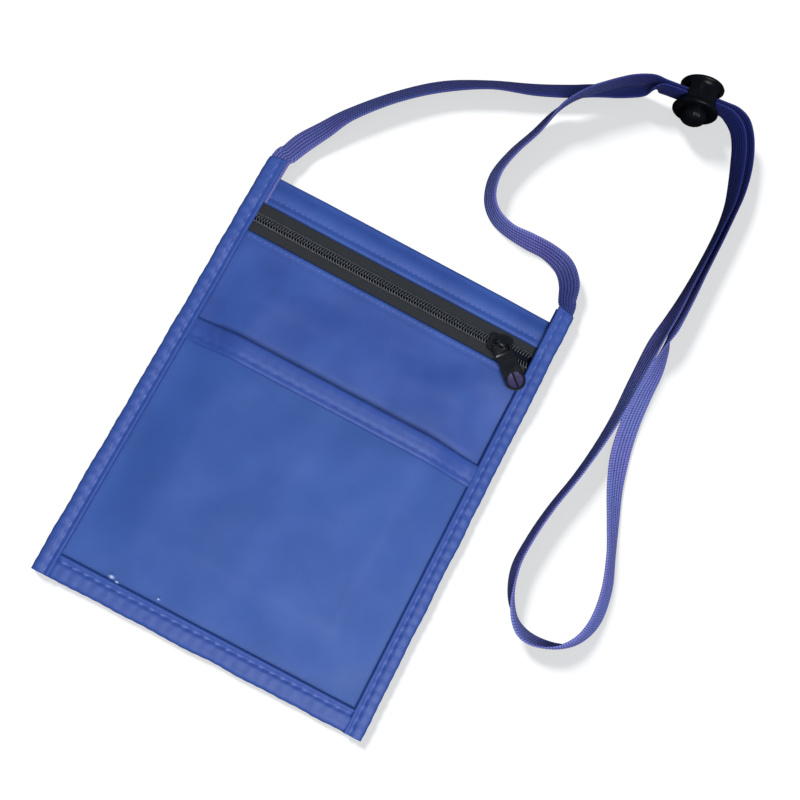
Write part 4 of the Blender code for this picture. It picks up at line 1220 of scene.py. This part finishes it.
def build_foot_binding(colours):
    """The tape along the bottom edge."""

    def place(flat, x):
        out, up = tape_section(flat, FOOT_DEPTH, lambda distance: foot_top(distance, x),
                               under_stitch(flat, FOOT_DEPTH))
        wave = edge_wave(out, FOOT_DEPTH, x - FOOT_LOW.x, 0.0, (x, 5.0), 41.0)
        return Vector((x, FOOT_TOP_Y - out - wave, up))

    build_cross_tape("foot_binding", FOOT_DEPTH, place, "bottom_binding", colours)


def build_window_trim(colours):
    """The tape over the window's top edge, fold up."""

    def place(flat, x):
        low = film_height(x, TRIM_HIGH.y) - FABRIC - LAYER_GAP
        out, up = tape_section(flat, TRIM_HEIGHT, lambda distance: trim_top(distance, x) - low)
        return Vector((x, TRIM_LOW.y + out, low + up))

    build_cross_tape("window_trim_tape", TRIM_HEIGHT, place, "window_trim",
                     colours)


def build_seam(name, places, colours):
    """Threads of one seam. Each place is a middle, a direction along the seam and a length."""
    shape = bmesh.new()
    for middle, direction, length in places:
        turn = Vector((1, 0, 0)).rotation_difference(direction).to_matrix().to_4x4()
        size = Matrix.Diagonal((length / 2, THREAD_RADIUS, THREAD_RADIUS * 0.8, 1.0))
        bmesh.ops.create_uvsphere(shape, u_segments=6, v_segments=6, radius=1.0,
                                  matrix=Matrix.Translation(middle) @ turn @ size)
    piece = new_piece(name, shape, made_once(sewing_thread, colours))
    return dress(piece, "pouch", "blue_binding_tape")


def seam_places(low, high, pitch, middle_at, share=STITCH_SHARE):
    """Evenly spaced stitches between two ends. `middle_at` gives the place on the cloth."""
    places = []
    for index in range(int((high - low) / pitch)):
        along = low + pitch / 2 + pitch * index
        here = Vector(middle_at(along))
        ahead = Vector(middle_at(along + pitch / 8))
        places.append((here, (ahead - here).normalized(), pitch * share))
    return places


def build_seams(colours):
    """Threads of the tapes, which go through to the back, and of the band, zip and trim."""
    for name, side, seed in SIDES:
        across = side * (HALF_OPEN + STITCH_LINE)
        on_side = seam_places(
            SIDE_LOW.y, SIDE_HIGH.y, SIDE_STITCH_PITCH,
            lambda y: (across, y, side_top(STITCH_LINE, y, seed) - THREAD_SINK))
        under_side = seam_places(SIDE_LOW.y, SIDE_HIGH.y, SIDE_STITCH_PITCH,
                                 lambda y: (across, y, UNDER_LIFT))
        build_seam(name + "_stitches", on_side + under_side, colours)

    foot_y = FOOT_TOP_Y - STITCH_LINE
    on_foot = seam_places(FOOT_LOW.x, FOOT_HIGH.x, SIDE_STITCH_PITCH,
                          lambda x: (x, foot_y, foot_top(STITCH_LINE, x) - THREAD_SINK))
    under_foot = seam_places(FOOT_LOW.x, FOOT_HIGH.x, SIDE_STITCH_PITCH,
                             lambda x: (x, foot_y, UNDER_LIFT))
    build_seam("foot_stitches", on_foot + under_foot, colours)

    on_trim = seam_places(FOOT_LOW.x, FOOT_HIGH.x, TRIM_STITCH_PITCH, lambda x: (
        x, TRIM_LOW.y + STITCH_LINE, trim_top(STITCH_LINE, x) + THREAD_LIFT))
    build_seam("trim_stitches", on_trim, colours)

    for name, y, top in (("band_stitches", BAND_LOW_Y + BAND_STITCH_LINE, band_top),
                         ("zip_stitches", FRONT_TOP_Y - ZIP_STITCH_LINE, front_top)):
        places = seam_places(-HALF_OPEN, HALF_OPEN, FINE_STITCH_PITCH,
                             lambda x: (x, y, top(x, y) + THREAD_LIFT), FINE_STITCH_SHARE)
        build_seam(name, places, colours)


def build_zip_tape(name, side, colours):
    """Woven tape on one side of the zip."""
    outer = TAPE_HIGH.y - ZIP_Y
    reach = even(TAPE_EDGE_REACH, outer, FINE_STEP)

    def place(x, out):
        share = 1 - (out - TAPE_EDGE_REACH) / (outer - TAPE_EDGE_REACH)
        return Vector((x, ZIP_Y + side * (out + parting(x) * share), TAPE_LOW.z))

    columns = even(-HALF_PANEL, HALF_PANEL, FINE_STEP * 1.5)
    if side < 0:
        columns = columns[::-1]
    piece = cloth(name, columns, reach, place, TAPE_HIGH.z - TAPE_LOW.z,
                  made_once(zip_weave, colours))
    return dress(piece, "pouch", "black_zip_weave",
                 "upper_zip_tape" if side > 0 else "lower_zip_tape")


def build_zip_coil(name, side, offset_share, colours):
    """One row of the zip's coil: a filament that loops round its own side of the middle line."""
    wire = COIL_WIRE / 2
    low_z, high_z = TEETH_LOW.z + wire, TEETH_HIGH.z - wire
    tip, root = -COIL_OVERLAP + wire, COIL_REACH - wire
    half = HALF_OPEN + COIL_END_TUCK
    points = []
    for turn in range(int(2 * half / COIL_PITCH) - 1):
        for along_share, across_share, height_share in COIL_TURN_SHARES:
            step = turn + offset_share + along_share + COIL_SLANT_SHARE * across_share
            x = -half + COIL_PITCH * step
            across = mix(tip, root, across_share)
            points.append(Vector((x, ZIP_Y + side * (across + parting(x)),
                                  mix(low_z, high_z, height_share))))
    piece = wire_tube(name, points, wire, made_once(zip_filament, colours))
    return dress(piece, "pouch", "black_zip_coil",
                 "upper_zip_teeth" if side > 0 else "lower_zip_teeth")


def squared(wave):
    """A wave with flatter tops, so that a loop is a rounded oblong."""
    return math.copysign(abs(wave) ** 0.7, wave)


def slider_plan():
    """Plan of the slider: its nose on the closed teeth and its shoulders on the parted ones."""
    upper = [(SLIDER_LENGTH / 2 * along, width * share)
             for width, shares in ((NOSE_HALF, NOSE_SHARES), (SHOULDER_HALF, SHOULDER_SHARES))
             for along, share in shares]
    return mirrored(upper)


def build_slider(colours):
    """The slider's plates round the teeth, with its throat and the slot for the tapes."""
    enamel = made_once(black_enamel, colours)
    body = new_piece("zip_slider", plate(slider_plan(), SLIDER_LOW.z, SLIDER_HIGH.z), enamel)
    slot_low, slot_high = TAPE_LOW.z - LAYER_GAP, TAPE_HIGH.z + LAYER_GAP
    throat_top = TEETH_HIGH.z + LAYER_GAP
    tip = SLIDER_LENGTH * (0.5 - DIAMOND_SHARE)
    reach = SLIDER_LENGTH
    diamond = [(reach, DIAMOND_HALF), (tip + 2 * DIAMOND_HALF, DIAMOND_HALF), (tip, 0.0)]
    throat = [(-reach, THROAT_HALF), (-PARTING_LENGTH / 2, THROAT_HALF),
              (PARTING_LENGTH / 2, THROAT_HALF + PARTING), (reach, THROAT_HALF + PARTING)]
    slot = [(-reach, reach), (reach, reach)]
    tools = [new_piece(name, plate(mirrored(upper + diamond), slot_low, top), enamel)
             for name, upper, top in (("throat", throat, throat_top),
                                      ("tape_slot", slot, slot_high))]
    cut(body, *tools)
    round_edges(body, SLIDER_ROUND, 3)
    settle(body, Matrix.Translation((SLIDER_X, ZIP_Y, 0)), tools)
    dress(body, "slider", "black_enamelled_metal", "slider_body")


def build_bridge(colours):
    """The arch on the slider that holds the pull."""
    foot, crown = SLIDER_HIGH.z, BRIDGE_HIGH.z
    outer = BRIDGE_HIGH.x - SLIDER_X
    turns = [math.pi * step / ARCH_STEPS for step in range(ARCH_STEPS + 1)]
    arch = [(reach * squared(math.cos(turn)), foot + (top - foot) * math.sin(turn) ** power)
            for reach, top, power, way in ((outer, crown, 0.5, 1),
                                           (outer - BRIDGE_LEG, crown - BRIDGE_LEG, 0.35, -1))
            for turn in turns[::way]]
    half = (BRIDGE_HIGH.y - BRIDGE_LOW.y) / 2
    bridge = new_piece("slider_bridge_arch", plate(arch, -half, half),
                       made_once(black_enamel, colours))
    round_edges(bridge, BRIDGE_ROUND, 3)
    settle(bridge, Matrix(((1, 0, 0, SLIDER_X), (0, 0, -1, ZIP_Y), (0, 1, 0, 0), (0, 0, 0, 1))))
    dress(bridge, "slider", "black_enamelled_metal", "slider_bridge")


def pull_plan():
    """Plan of the pull: a square root round the bar, a waist and a round thumb end."""
    upper = [(-PULL_BAR_HALF + along, PULL_ROOT_HALF - inset) for along, inset in PULL_ROOT]
    upper += [(PULL_LENGTH * 0.36, PULL_ROOT_HALF * 0.95),
              (PULL_LENGTH * 0.52, PULL_TIP_HALF * 0.93)]
    for step in range(PULL_TIP_STEPS + 1):
        turn = mix(PULL_TIP_START, 0.0, step / PULL_TIP_STEPS)
        upper.append((PULL_LENGTH - PULL_TIP_HALF * (1 - math.cos(turn)),
                      PULL_TIP_HALF * math.sin(turn)))
    return mirrored(upper)


def build_pull(colours):
    """The pull, with its eye round the bridge and a round thumb dish either side of a rib."""
    half = PULL_THICKNESS / 2
    enamel = made_once(black_enamel, colours)
    pull = new_piece("zip_pull", plate(pull_plan(), -half, half), enamel)
    eye_low, eye_high = PULL_BAR_HALF, PULL_BAR_HALF + PULL_EYE_LENGTH
    eye = mirrored([(eye_low, PULL_EYE_HALF), (eye_high, PULL_EYE_HALF)])
    tools = [new_piece("eye", plate(eye, -2 * half, 2 * half), enamel)]
    face = half - PULL_STEP_DEPTH
    start = eye_high + PULL_BAR_LENGTH
    before, beyond = start - PULL_STEP_LENGTH, 2 * PULL_LENGTH
    step = plate([(start, half), (start + PULL_STEP_LENGTH, face), (beyond, face),
                  (beyond, 3 * half), (before, 3 * half), (before, 1.2 * half)],
                 -PULL_LENGTH, PULL_LENGTH)
    bmesh.ops.rotate(step, verts=step.verts[:], matrix=Matrix.Rotation(math.radians(90), 3, "X"))
    tools.append(new_piece("step", step, enamel))
    middle = PULL_LENGTH - PULL_TIP_HALF
    first = math.asin(RIB_HALF / DISH_RADIUS)
    turns = [mix(first, math.pi - first, step / DISH_STEPS) for step in range(DISH_STEPS + 1)]
    for side in (-1, 1):
        outline = [(middle + DISH_RADIUS * math.cos(turn), side * DISH_RADIUS * math.sin(turn))
                   for turn in turns]
        tools.append(new_piece("dish", plate(outline[::side], face - DISH_DEPTH, 2 * half),
                               made_once(tinted_dish, colours)))
    cut(pull, *tools)
    round_edges(pull, PULL_ROUND, 4)
    place = Matrix.Translation(PULL_AXIS) @ Matrix.Rotation(PULL_TURN, 4, "Z")
    settle(pull, place, tools, PULL_EDGE_ANGLE)
    return dress(pull, "pull", "black_enamelled_metal", "pull_tab")


def resting_height(lean):
    turn = math.radians(lean)
    return (STRAP_FLOOR_GAP + STRAP_WIDTH / 2 * abs(math.cos(turn))
            + STRAP_THICKNESS / 2 * abs(math.sin(turn)))


def lock_points(strand, strap_places):
    """Route points on a straight line through the cord lock."""
    axis_x, axis_y = math.cos(LOCK_TURN), math.sin(LOCK_TURN)
    lift = LOCK_RADIUS - resting_height(0.0)
    return [(LOCK_PLACE.x + strand * axis_x - along * axis_y,
             LOCK_PLACE.y + strand * axis_y + along * axis_x, lift, 0.0)
            for along in strap_places]


def in_metres(route):
    """Route points from a table in millimetres."""
    return [(x / 1000, y / 1000, lift / 1000, lean) for x, y, lift, lean in route]


def strap_route():
    """The whole route from the left ear's seam to the right ear's, through the lock twice."""
    lift = STRAP_SEWN_Z + STRAP_THICKNESS / 2 - resting_height(90.0)
    ear_y = SIDE_HIGH.y
    left = [(-LEFT_SEWN_X, y, lift, 90.0) for y in (ear_y - STRAP_SEWN_LENGTH, ear_y)]
    right = [(RIGHT_SEWN_X, y, lift, -90.0) for y in (ear_y, ear_y - STRAP_SEWN_LENGTH)]
    through = lock_points(NEAR_STRAND, (-LOCK_STRAIGHT_REACH, 0.0, LOCK_EXIT_REACH))
    back = lock_points(FAR_STRAND, (LOCK_EXIT_REACH, 0.0, -LOCK_STRAIGHT_REACH))
    return (left + in_metres(LEFT_EAR_TO_LOCK) + through + in_metres(LOOP) + back
            + in_metres(LOCK_TO_RIGHT_EAR) + right)


def route_slopes(points):
    """Change of x, y, lift and lean per point. Lift and lean stay level at their own peaks."""
    slopes = []
    for before, here, after in zip(points[:1] + points, points, points[1:] + points[-1:]):
        slope = [(far - near) / 2 for near, far in zip(before, after)]
        for kind in (2, 3):
            if (here[kind] - before[kind]) * (after[kind] - here[kind]) <= 0:
                slope[kind] = 0.0
        slopes.append(slope)
    return slopes


def smooth_route(points, step):
    """Points on a smooth curve through the route, about a step apart."""
    slopes = route_slopes(points)
    fine = []
    for start, end, leaving, arriving in zip(points, points[1:], slopes, slopes[1:]):
        pieces = max(1, round(math.dist(start[:2], end[:2]) / step))
        for piece in range(pieces):
            t = piece / pieces
            fine.append(tuple(
                a + m * t + (3 * (b - a) - 2 * m - n) * t * t + (2 * (a - b) + m + n) * t ** 3
                for a, b, m, n in zip(start, end, leaving, arriving)))
    fine.append(points[-1])
    return fine


def strap_stations(route):
    """Centre, width direction and face direction at each place of the strap."""
    centres = [Vector((x, y, resting_height(lean) + lift)) for x, y, lift, lean in route]
    stations = []
    for index, centre in enumerate(centres):
        ahead = centres[min(index + 1, len(centres) - 1)] - centres[max(index - 1, 0)]
        ahead.normalize()
        right = ahead.cross(Vector((0, 0, 1))).normalized()
        upright = right.cross(ahead)
        lean = math.radians(route[index][3])
        width = upright * math.cos(lean) + right * math.sin(lean)
        stations.append((centre, width, width.cross(ahead)))
    return stations


def knit_thickness(across, row):
    """Half the strap's thickness at a place across it, with a rib's loops from row to row."""
    rib_count = across / RIB_PITCH
    edge = (1 - min(abs(across) / (STRAP_WIDTH / 2), 1.0) ** 5) ** 0.5
    rib = 0.5 + 0.5 * math.cos(2 * math.pi * rib_count)
    loop = 1 if (row + round(rib_count)) % 2 else LOOP_GAP_SHARE
    return (KNIT_THICKNESS / 2 - RIB_DEPTH + RIB_DEPTH * rib * loop) * edge


def pinch(along, whole):
    """Share of its width that the strap keeps where it is gathered into the ears."""
    from_left = along - STRAP_SEWN_LENGTH
    from_right = whole - along - STRAP_SEWN_LENGTH
    return (mix(LEFT_PINCH, 1.0, ramp(from_left, PINCH_LENGTH))
            * mix(RIGHT_PINCH, 1.0, ramp(from_right, PINCH_LENGTH)))


def cup(centre):
    """Depth to which the strap is cupped across its width at a place on its route."""
    return sum(depth * bump(math.dist(centre.xy, (x, y)), reach) for x, y, reach, depth in CUPS)


def build_strap(colours):
    """One flat ribbed strap from ear to ear."""
    stations = strap_stations(smooth_route(strap_route(), ROW_PITCH / 2))
    half = STRAP_WIDTH / 2
    places = [half * share for share in STRAP_EDGE_SHARES]
    places += even(half * RIBBED_SHARE, -half * RIBBED_SHARE, RIB_PITCH / 3)
    places += [-half * share for share in STRAP_EDGE_SHARES[::-1]]
    ring = [(place, 1) for place in places] + [(place, -1) for place in places[::-1]]
    ring.append(ring[0])
    along = distances_along(stations)
    pinches = [pinch(length, along[-1]) for length in along]
    cups = [cup(centre) for centre, *_ in stations]

    def place(column, row):
        centre, width, face = stations[row]
        across, side = ring[column]
        serrate = 1 + STRAP_SERRATION * (row % 2) * ramp(abs(across) - half * 0.8, half * 0.2)
        hollow = cups[row] * (0.5 - (across / half) ** 2)
        return (centre + width * across * serrate * pinches[row]
                + face * (side * knit_thickness(across, row) + hollow))

    shape = grid([across for across, _ in ring], along, place)
    close_tube(shape, STRAP_WELD)
    middle = min(range(len(along)), key=lambda row: abs(along[row] - along[-1] / 2))
    first, last = (along[min(rows, key=lambda row: (stations[row][0] - LOCK_PLACE).length)]
                   for rows in (range(middle), range(middle, len(along))))
    piece = new_piece("ribbed_strap", shape,
                      made_once(strap_knit, colours, first, last, along[-1]))
    return dress(piece, "pouch", "violet_strap_weave", "neck_strap")


def build_lock_part(name, shape, slot, body, stands_for, colours):
    """A turned part of the lock with the strap's slot through it."""
    plastic = made_once(lock_plastic, colours)
    low, high = slot
    reach = LOCK_RADIUS * 1.3
    half_height = STRAP_WIDTH / 2 + LAYER_GAP
    outline = [(low, -reach), (high, -reach), (high, reach), (low, reach)]
    piece = new_piece(name, shape, plastic)
    tool = new_piece("strap_slot", plate(outline, -half_height, half_height), plastic)
    cut(piece, tool)
    settle(piece, LOCK_MATRIX, [tool])
    return dress(piece, body, "black_moulded_plastic", stands_for)


def build_barrel(colours):
    """The cord lock's waisted barrel."""
    bore = PLUNGER_RADIUS + LAYER_GAP
    profile = [(LOCK_HEAD + along, radius) for along, radius in BARREL_HEAD_PROFILE]
    profile += [(LOCK_FOOT - before, radius) for before, radius in BARREL_FOOT_PROFILE]
    profile += [(LOCK_FOOT, bore + BORE_LIP), (LOCK_FOOT - BORE_LIP, bore),
                (LOCK_HEAD + LOCK_WALL, bore), (LOCK_HEAD + LOCK_WALL, 0.0)]
    return build_lock_part("lock_barrel_shell", turned(profile, ROUND_STEPS), BARREL_SLOT,
                           "lock", "lock_barrel", colours)


def build_button(colours):
    """The domed button with ribs round the edge of its dome."""
    start = PLUNGER_TIP - DOME_HEIGHT
    profile = [(PLUNGER_INNER_END, 0.0), (PLUNGER_INNER_END, PLUNGER_RADIUS - BORE_LIP),
               (PLUNGER_INNER_END + BORE_LIP, PLUNGER_RADIUS),
               (start - DOME_COLLAR, PLUNGER_RADIUS)]
    for step in range(DOME_STEPS):
        share = math.sin(math.pi / 2 * step / DOME_STEPS)
        profile.append((start + DOME_HEIGHT * share,
                        PLUNGER_RADIUS * math.sqrt(1 - share * share)))
    profile.append((PLUNGER_TIP, 0.0))
    shape = turned(profile, ROUND_STEPS)
    for corner in shape.verts:
        grip = (ramp(corner.co.x - start, DOME_HEIGHT * 0.25)
                * ramp(PLUNGER_TIP - corner.co.x, DOME_HEIGHT * 0.2))
        angle = math.atan2(corner.co.z, corner.co.y)
        inward = 1 - GRIP_DEPTH * grip * (0.5 - 0.5 * math.cos(GRIP_COUNT * angle))
        corner.co.y *= inward
        corner.co.z *= inward
    return build_lock_part("lock_button", shape, PLUNGER_SLOT, "plunger", "lock_plunger",
                           colours)


def build_lock_spring():
    """The coil spring between the bore's floor and the button."""
    floor = LOCK_HEAD + LOCK_WALL
    wire = SPRING_WIRE / 2
    low, high = floor + LAYER_GAP + wire, PLUNGER_INNER_END - LAYER_GAP - wire
    count = round(SPRING_TURNS * SPRING_STEPS)
    points = []
    for step in range(count + 1):
        turn = 2 * math.pi * step / SPRING_STEPS
        points.append(Vector((mix(low, high, step / count), SPRING_RADIUS * math.cos(turn),
                              SPRING_RADIUS * math.sin(turn))))
    spring = wire_tube("lock_spring_wire", points, wire, made_once(spring_wire))
    spring.data.transform(LOCK_MATRIX)
    dress(spring, "lock", "spring_steel", "lock_spring")
    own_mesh(spring)


# Stage

def build_floor(stage):
    """White floor that keeps the object's shadow and can't be seen from below."""
    material = bpy.data.materials.new("pale_floor")
    material.use_nodes = True
    tree = material.node_tree
    tree.nodes.clear()
    seen = node(tree, "ShaderNodeLightPath").outputs["Is Camera Ray"]
    paint = node(tree, "ShaderNodeBsdfDiffuse")
    feed(tree, paint.inputs["Color"], mix_colour(tree, seen, BOUNCE_SHADE, FLOOR_SHADE))
    glow = node(tree, "ShaderNodeEmission")
    feed(tree, glow.inputs["Color"], WHITE)
    shown = mix_shaders(tree, math_node(tree, "MULTIPLY", seen, stage.floor_glow),
                        paint.outputs[0], glow.outputs[0])
    surface = mix_shaders(tree, node(tree, "ShaderNodeNewGeometry").outputs["Backfacing"], shown,
                          node(tree, "ShaderNodeBsdfTransparent").outputs[0])
    feed(tree, node(tree, "ShaderNodeOutputMaterial").inputs["Surface"], surface)
    shape = bmesh.new()
    bmesh.ops.create_grid(shape, x_segments=1, y_segments=1, size=stage.floor_size / 2,
                          matrix=Matrix.Translation((0, 0, -STRAP_FLOOR_GAP)))
    floor = new_piece("floor", shape, material)
    return floor


def build_world(stage):
    """Even light from all round, and a background that the camera sees as plain white."""
    world = bpy.data.worlds.new("studio")
    world.use_nodes = True
    bpy.context.scene.world = world
    tree = world.node_tree
    tree.nodes.clear()
    fill, white = (node(tree, "ShaderNodeBackground") for _ in range(2))
    feed(tree, fill.inputs["Color"], FILL_SHADE)
    feed(tree, fill.inputs["Strength"], stage.fill_light)
    feed(tree, white.inputs["Color"], WHITE)
    shown = mix_shaders(tree, node(tree, "ShaderNodeLightPath").outputs["Is Camera Ray"],
                        fill.outputs[0], white.outputs[0])
    feed(tree, node(tree, "ShaderNodeOutputWorld").inputs["Surface"], shown)


def add_lamp(name, kind, direction, energy, floor, on_floor, **settings):
    """A lamp aimed at the object, which lights either the floor alone or all but the floor."""
    data = bpy.data.lights.new(name, kind)
    data.energy = energy
    for label, value in settings.items():
        setattr(data, label, value)
    lamp = bpy.data.objects.new(name, data)
    bpy.context.scene.collection.objects.link(lamp)
    aim = Vector(direction).normalized()
    lamp.location = (CAD_BOX[0] + CAD_BOX[1]) / 2 + aim * LAMP_DISTANCE
    lamp.rotation_euler = aim.to_track_quat("Z", "Y").to_euler()
    lit = bpy.data.collections.new(name + "_receivers")
    lit.objects.link(floor)
    lit.collection_objects[0].light_linking.link_state = "INCLUDE" if on_floor else "EXCLUDE"
    lamp.light_linking.receiver_collection = lit


def build_lamps(stage, floor):
    for name, direction, size, power in (
            ("key_lamp", KEY_DIRECTION, KEY_SIZE, stage.key_power),
            ("glint_lamp", GLINT_DIRECTION, GLINT_SIZE, stage.glint_power)):
        add_lamp(name, "AREA", direction, power, floor, False, shape="SQUARE", size=size)
    add_lamp("floor_lamp", "SUN", FLOOR_LAMP_DIRECTION, stage.floor_light, floor, True,
             angle=FLOOR_LAMP_SPREAD)


def build_camera(stage):
    data = bpy.data.cameras.new("camera")
    data.lens = stage.lens
    data.sensor_width = 36.0
    data.clip_start = 0.01
    camera = bpy.data.objects.new("camera", data)
    bpy.context.scene.collection.objects.link(camera)
    ahead = Vector(CAMERA_AHEAD).normalized()
    right = Vector(CAMERA_RIGHT)
    right = (right - ahead * right.dot(ahead)).normalized()
    up = right.cross(ahead)
    turn = Matrix((right, up, -ahead)).transposed().to_4x4()
    camera.matrix_world = Matrix.Translation(CAMERA_PLACE) @ turn
    bpy.context.scene.camera = camera


# Settings, operators and panel

def colour_setting(name, description, default):
    return bpy.props.FloatVectorProperty(name=name, description=description, subtype="COLOR",
                                         size=3, min=0.0, max=1.0, default=default)


class WalletColours(bpy.types.PropertyGroup):
    """Colours of the wallet's finishes."""

    cloth: colour_setting("Cloth", "Coated cloth of the pouch", (0.032, 0.078, 0.315))
    cloth_light: colour_setting("Light cloth", "Cloth where its coating shines",
                                (0.043, 0.103, 0.385))
    tape: colour_setting("Binding tape", "Folded tape round the edges", (0.033, 0.078, 0.33))
    tape_light: colour_setting("Light tape", "Tape where it is rubbed", (0.046, 0.102, 0.385))
    thread: colour_setting("Thread", "Sewing thread", (0.13, 0.19, 0.56))
    film: colour_setting("Window film", "Haze of the clear window", (0.07, 0.17, 0.50))
    zip_tape: colour_setting("Zip tape", "Woven tape of the zip", (0.026, 0.028, 0.032))
    coil: colour_setting("Zip coil", "Filament of the zip's teeth", (0.036, 0.038, 0.044))
    enamel: colour_setting("Enamel", "Enamel of the slider and its pull", (0.003, 0.003, 0.004))
    dish: colour_setting("Thumb dish", "Tint inside the pull's thumb dish", (0.024, 0.016, 0.062))
    strap: colour_setting("Strap", "Crowns of the strap's ribs", (0.225, 0.26, 0.68))
    strap_violet: colour_setting("Strap violet", "Crowns where the strap looks violet",
                                 (0.245, 0.23, 0.67))
    # Painted shade: navy that the strap's crowns take by the lock and by the right ear
    strap_navy: colour_setting("Strap navy", "Crowns in the shade by the lock",
                               (0.004, 0.011, 0.15))
    # Painted shade in the grooves between the ribs
    strap_deep: colour_setting("Strap grooves", "Grooves between the ribs",
                               (0.008, 0.016, 0.12))
    lock: colour_setting("Cord lock", "Moulded plastic of the cord lock", (0.002, 0.002, 0.003))


def number_setting(name, description, default, low=0.0, **kind):
    return bpy.props.FloatProperty(name=name, description=description, default=default, min=low,
                                   **kind)


class WalletStage(bpy.types.PropertyGroup):
    """Floor, light and camera."""

    floor_size: number_setting("Floor size", "Side of the floor", 6.0, low=0.5,
                               unit="LENGTH")
    floor_glow: number_setting("Floor white", "Share of plain white in the floor", 0.65,
                               max=1.0, subtype="FACTOR")
    fill_light: number_setting("Fill light", "Light from all round", 0.28)
    key_power: number_setting("Key lamp", "Power of the main lamp", 31.0, unit="POWER")
    glint_power: number_setting("Glint lamp", "Power of the small lamp for highlights", 0.6,
                                unit="POWER")
    floor_light: number_setting("Floor light", "Light of the floor's own lamp", 6.0)
    lens: number_setting("Lens", "Focal length in millimetres", 49.5, low=10.0)


class PieceOperator:
    """Shared by the pieces' operators: each runs its own build with the scene's colours."""

    bl_options = {"REGISTER", "UNDO"}

    def execute(self, context):
        self.build(context.scene.wallet_colours)
        return {"FINISHED"}


class WALLET_OT_cloths(PieceOperator, bpy.types.Operator):
    """Back cloth, front cloth and the window's film and trim"""

    bl_idname = "wallet.cloths"
    bl_label = "Cloths and window"

    def build(self, colours):
        build_back_cloth(colours)
        build_front_cloth(colours)
        build_window_film(colours)
        build_window_trim(colours)


class WALLET_OT_bindings(PieceOperator, bpy.types.Operator):
    """Folded tapes round the pouch's edges"""

    bl_idname = "wallet.bindings"
    bl_label = "Bindings"

    def build(self, colours):
        for name, side, seed in SIDES:
            build_side_binding(name, side, seed, colours)
        build_foot_binding(colours)


class WALLET_OT_seams(PieceOperator, bpy.types.Operator):
    """Stitches along every seam"""

    bl_idname = "wallet.seams"
    bl_label = "Stitches"

    def build(self, colours):
        build_seams(colours)


class WALLET_OT_zip(PieceOperator, bpy.types.Operator):
    """Tapes and coils of the zip"""

    bl_idname = "wallet.zip"
    bl_label = "Zip tapes and coils"

    def build(self, colours):
        build_zip_tape("upper_tape_weave", 1, colours)
        build_zip_tape("lower_tape_weave", -1, colours)
        build_zip_coil("upper_coil", 1, 0.0, colours)
        build_zip_coil("lower_coil", -1, 0.5, colours)


class WALLET_OT_slider(PieceOperator, bpy.types.Operator):
    """Slider, its bridge and its pull"""

    bl_idname = "wallet.slider"
    bl_label = "Slider and pull"

    def build(self, colours):
        build_slider(colours)
        build_bridge(colours)
        build_pull(colours)


class WALLET_OT_lock(PieceOperator, bpy.types.Operator):
    """Barrel, button and spring of the cord lock"""

    bl_idname = "wallet.lock"
    bl_label = "Cord lock"

    def build(self, colours):
        build_barrel(colours)
        build_button(colours)
        build_lock_spring()


class WALLET_OT_strap(PieceOperator, bpy.types.Operator):
    """Ribbed neck strap. The cord lock is built first"""

    bl_idname = "wallet.strap"
    bl_label = "Neck strap"

    def build(self, colours):
        build_strap(colours)


class WALLET_OT_stage(bpy.types.Operator):
    """Floor, lamps and camera"""

    bl_idname = "wallet.stage"
    bl_label = "Stage"
    bl_options = {"REGISTER", "UNDO"}

    def execute(self, context):
        stage = context.scene.wallet_stage
        floor = build_floor(stage)
        build_world(stage)
        build_lamps(stage, floor)
        build_camera(stage)
        context.scene.view_settings.view_transform = "Standard"
        return {"FINISHED"}


STEPS = (WALLET_OT_stage, WALLET_OT_lock, WALLET_OT_strap, WALLET_OT_cloths,
         WALLET_OT_bindings, WALLET_OT_seams, WALLET_OT_zip, WALLET_OT_slider)


class WALLET_PT_steps(bpy.types.Panel):
    """The steps that dress the wallet, with its colours and stage settings"""

    bl_label = "Neck Wallet"
    bl_idname = "WALLET_PT_steps"
    bl_space_type = "VIEW_3D"
    bl_region_type = "UI"
    bl_category = "Neck Wallet"

    def draw(self, context):
        for step in STEPS:
            self.layout.operator(step.bl_idname)
        for settings in (context.scene.wallet_colours, context.scene.wallet_stage):
            for name in settings.bl_rna.properties.keys():
                if name not in ("rna_type", "name"):
                    self.layout.prop(settings, name)


CLASSES = (WalletColours, WalletStage, *STEPS, WALLET_PT_steps)


def register():
    for made in CLASSES:
        bpy.utils.register_class(made)
    bpy.types.Scene.wallet_colours = bpy.props.PointerProperty(type=WalletColours)
    bpy.types.Scene.wallet_stage = bpy.props.PointerProperty(type=WalletStage)


def unregister():
    del bpy.types.Scene.wallet_stage
    del bpy.types.Scene.wallet_colours
    for made in reversed(CLASSES):
        bpy.utils.unregister_class(made)


def main():
    register()
    for step in STEPS:
        family, name = step.bl_idname.split(".")
        getattr(getattr(bpy.ops, family), name)()


if __name__ == "__main__":
    main()
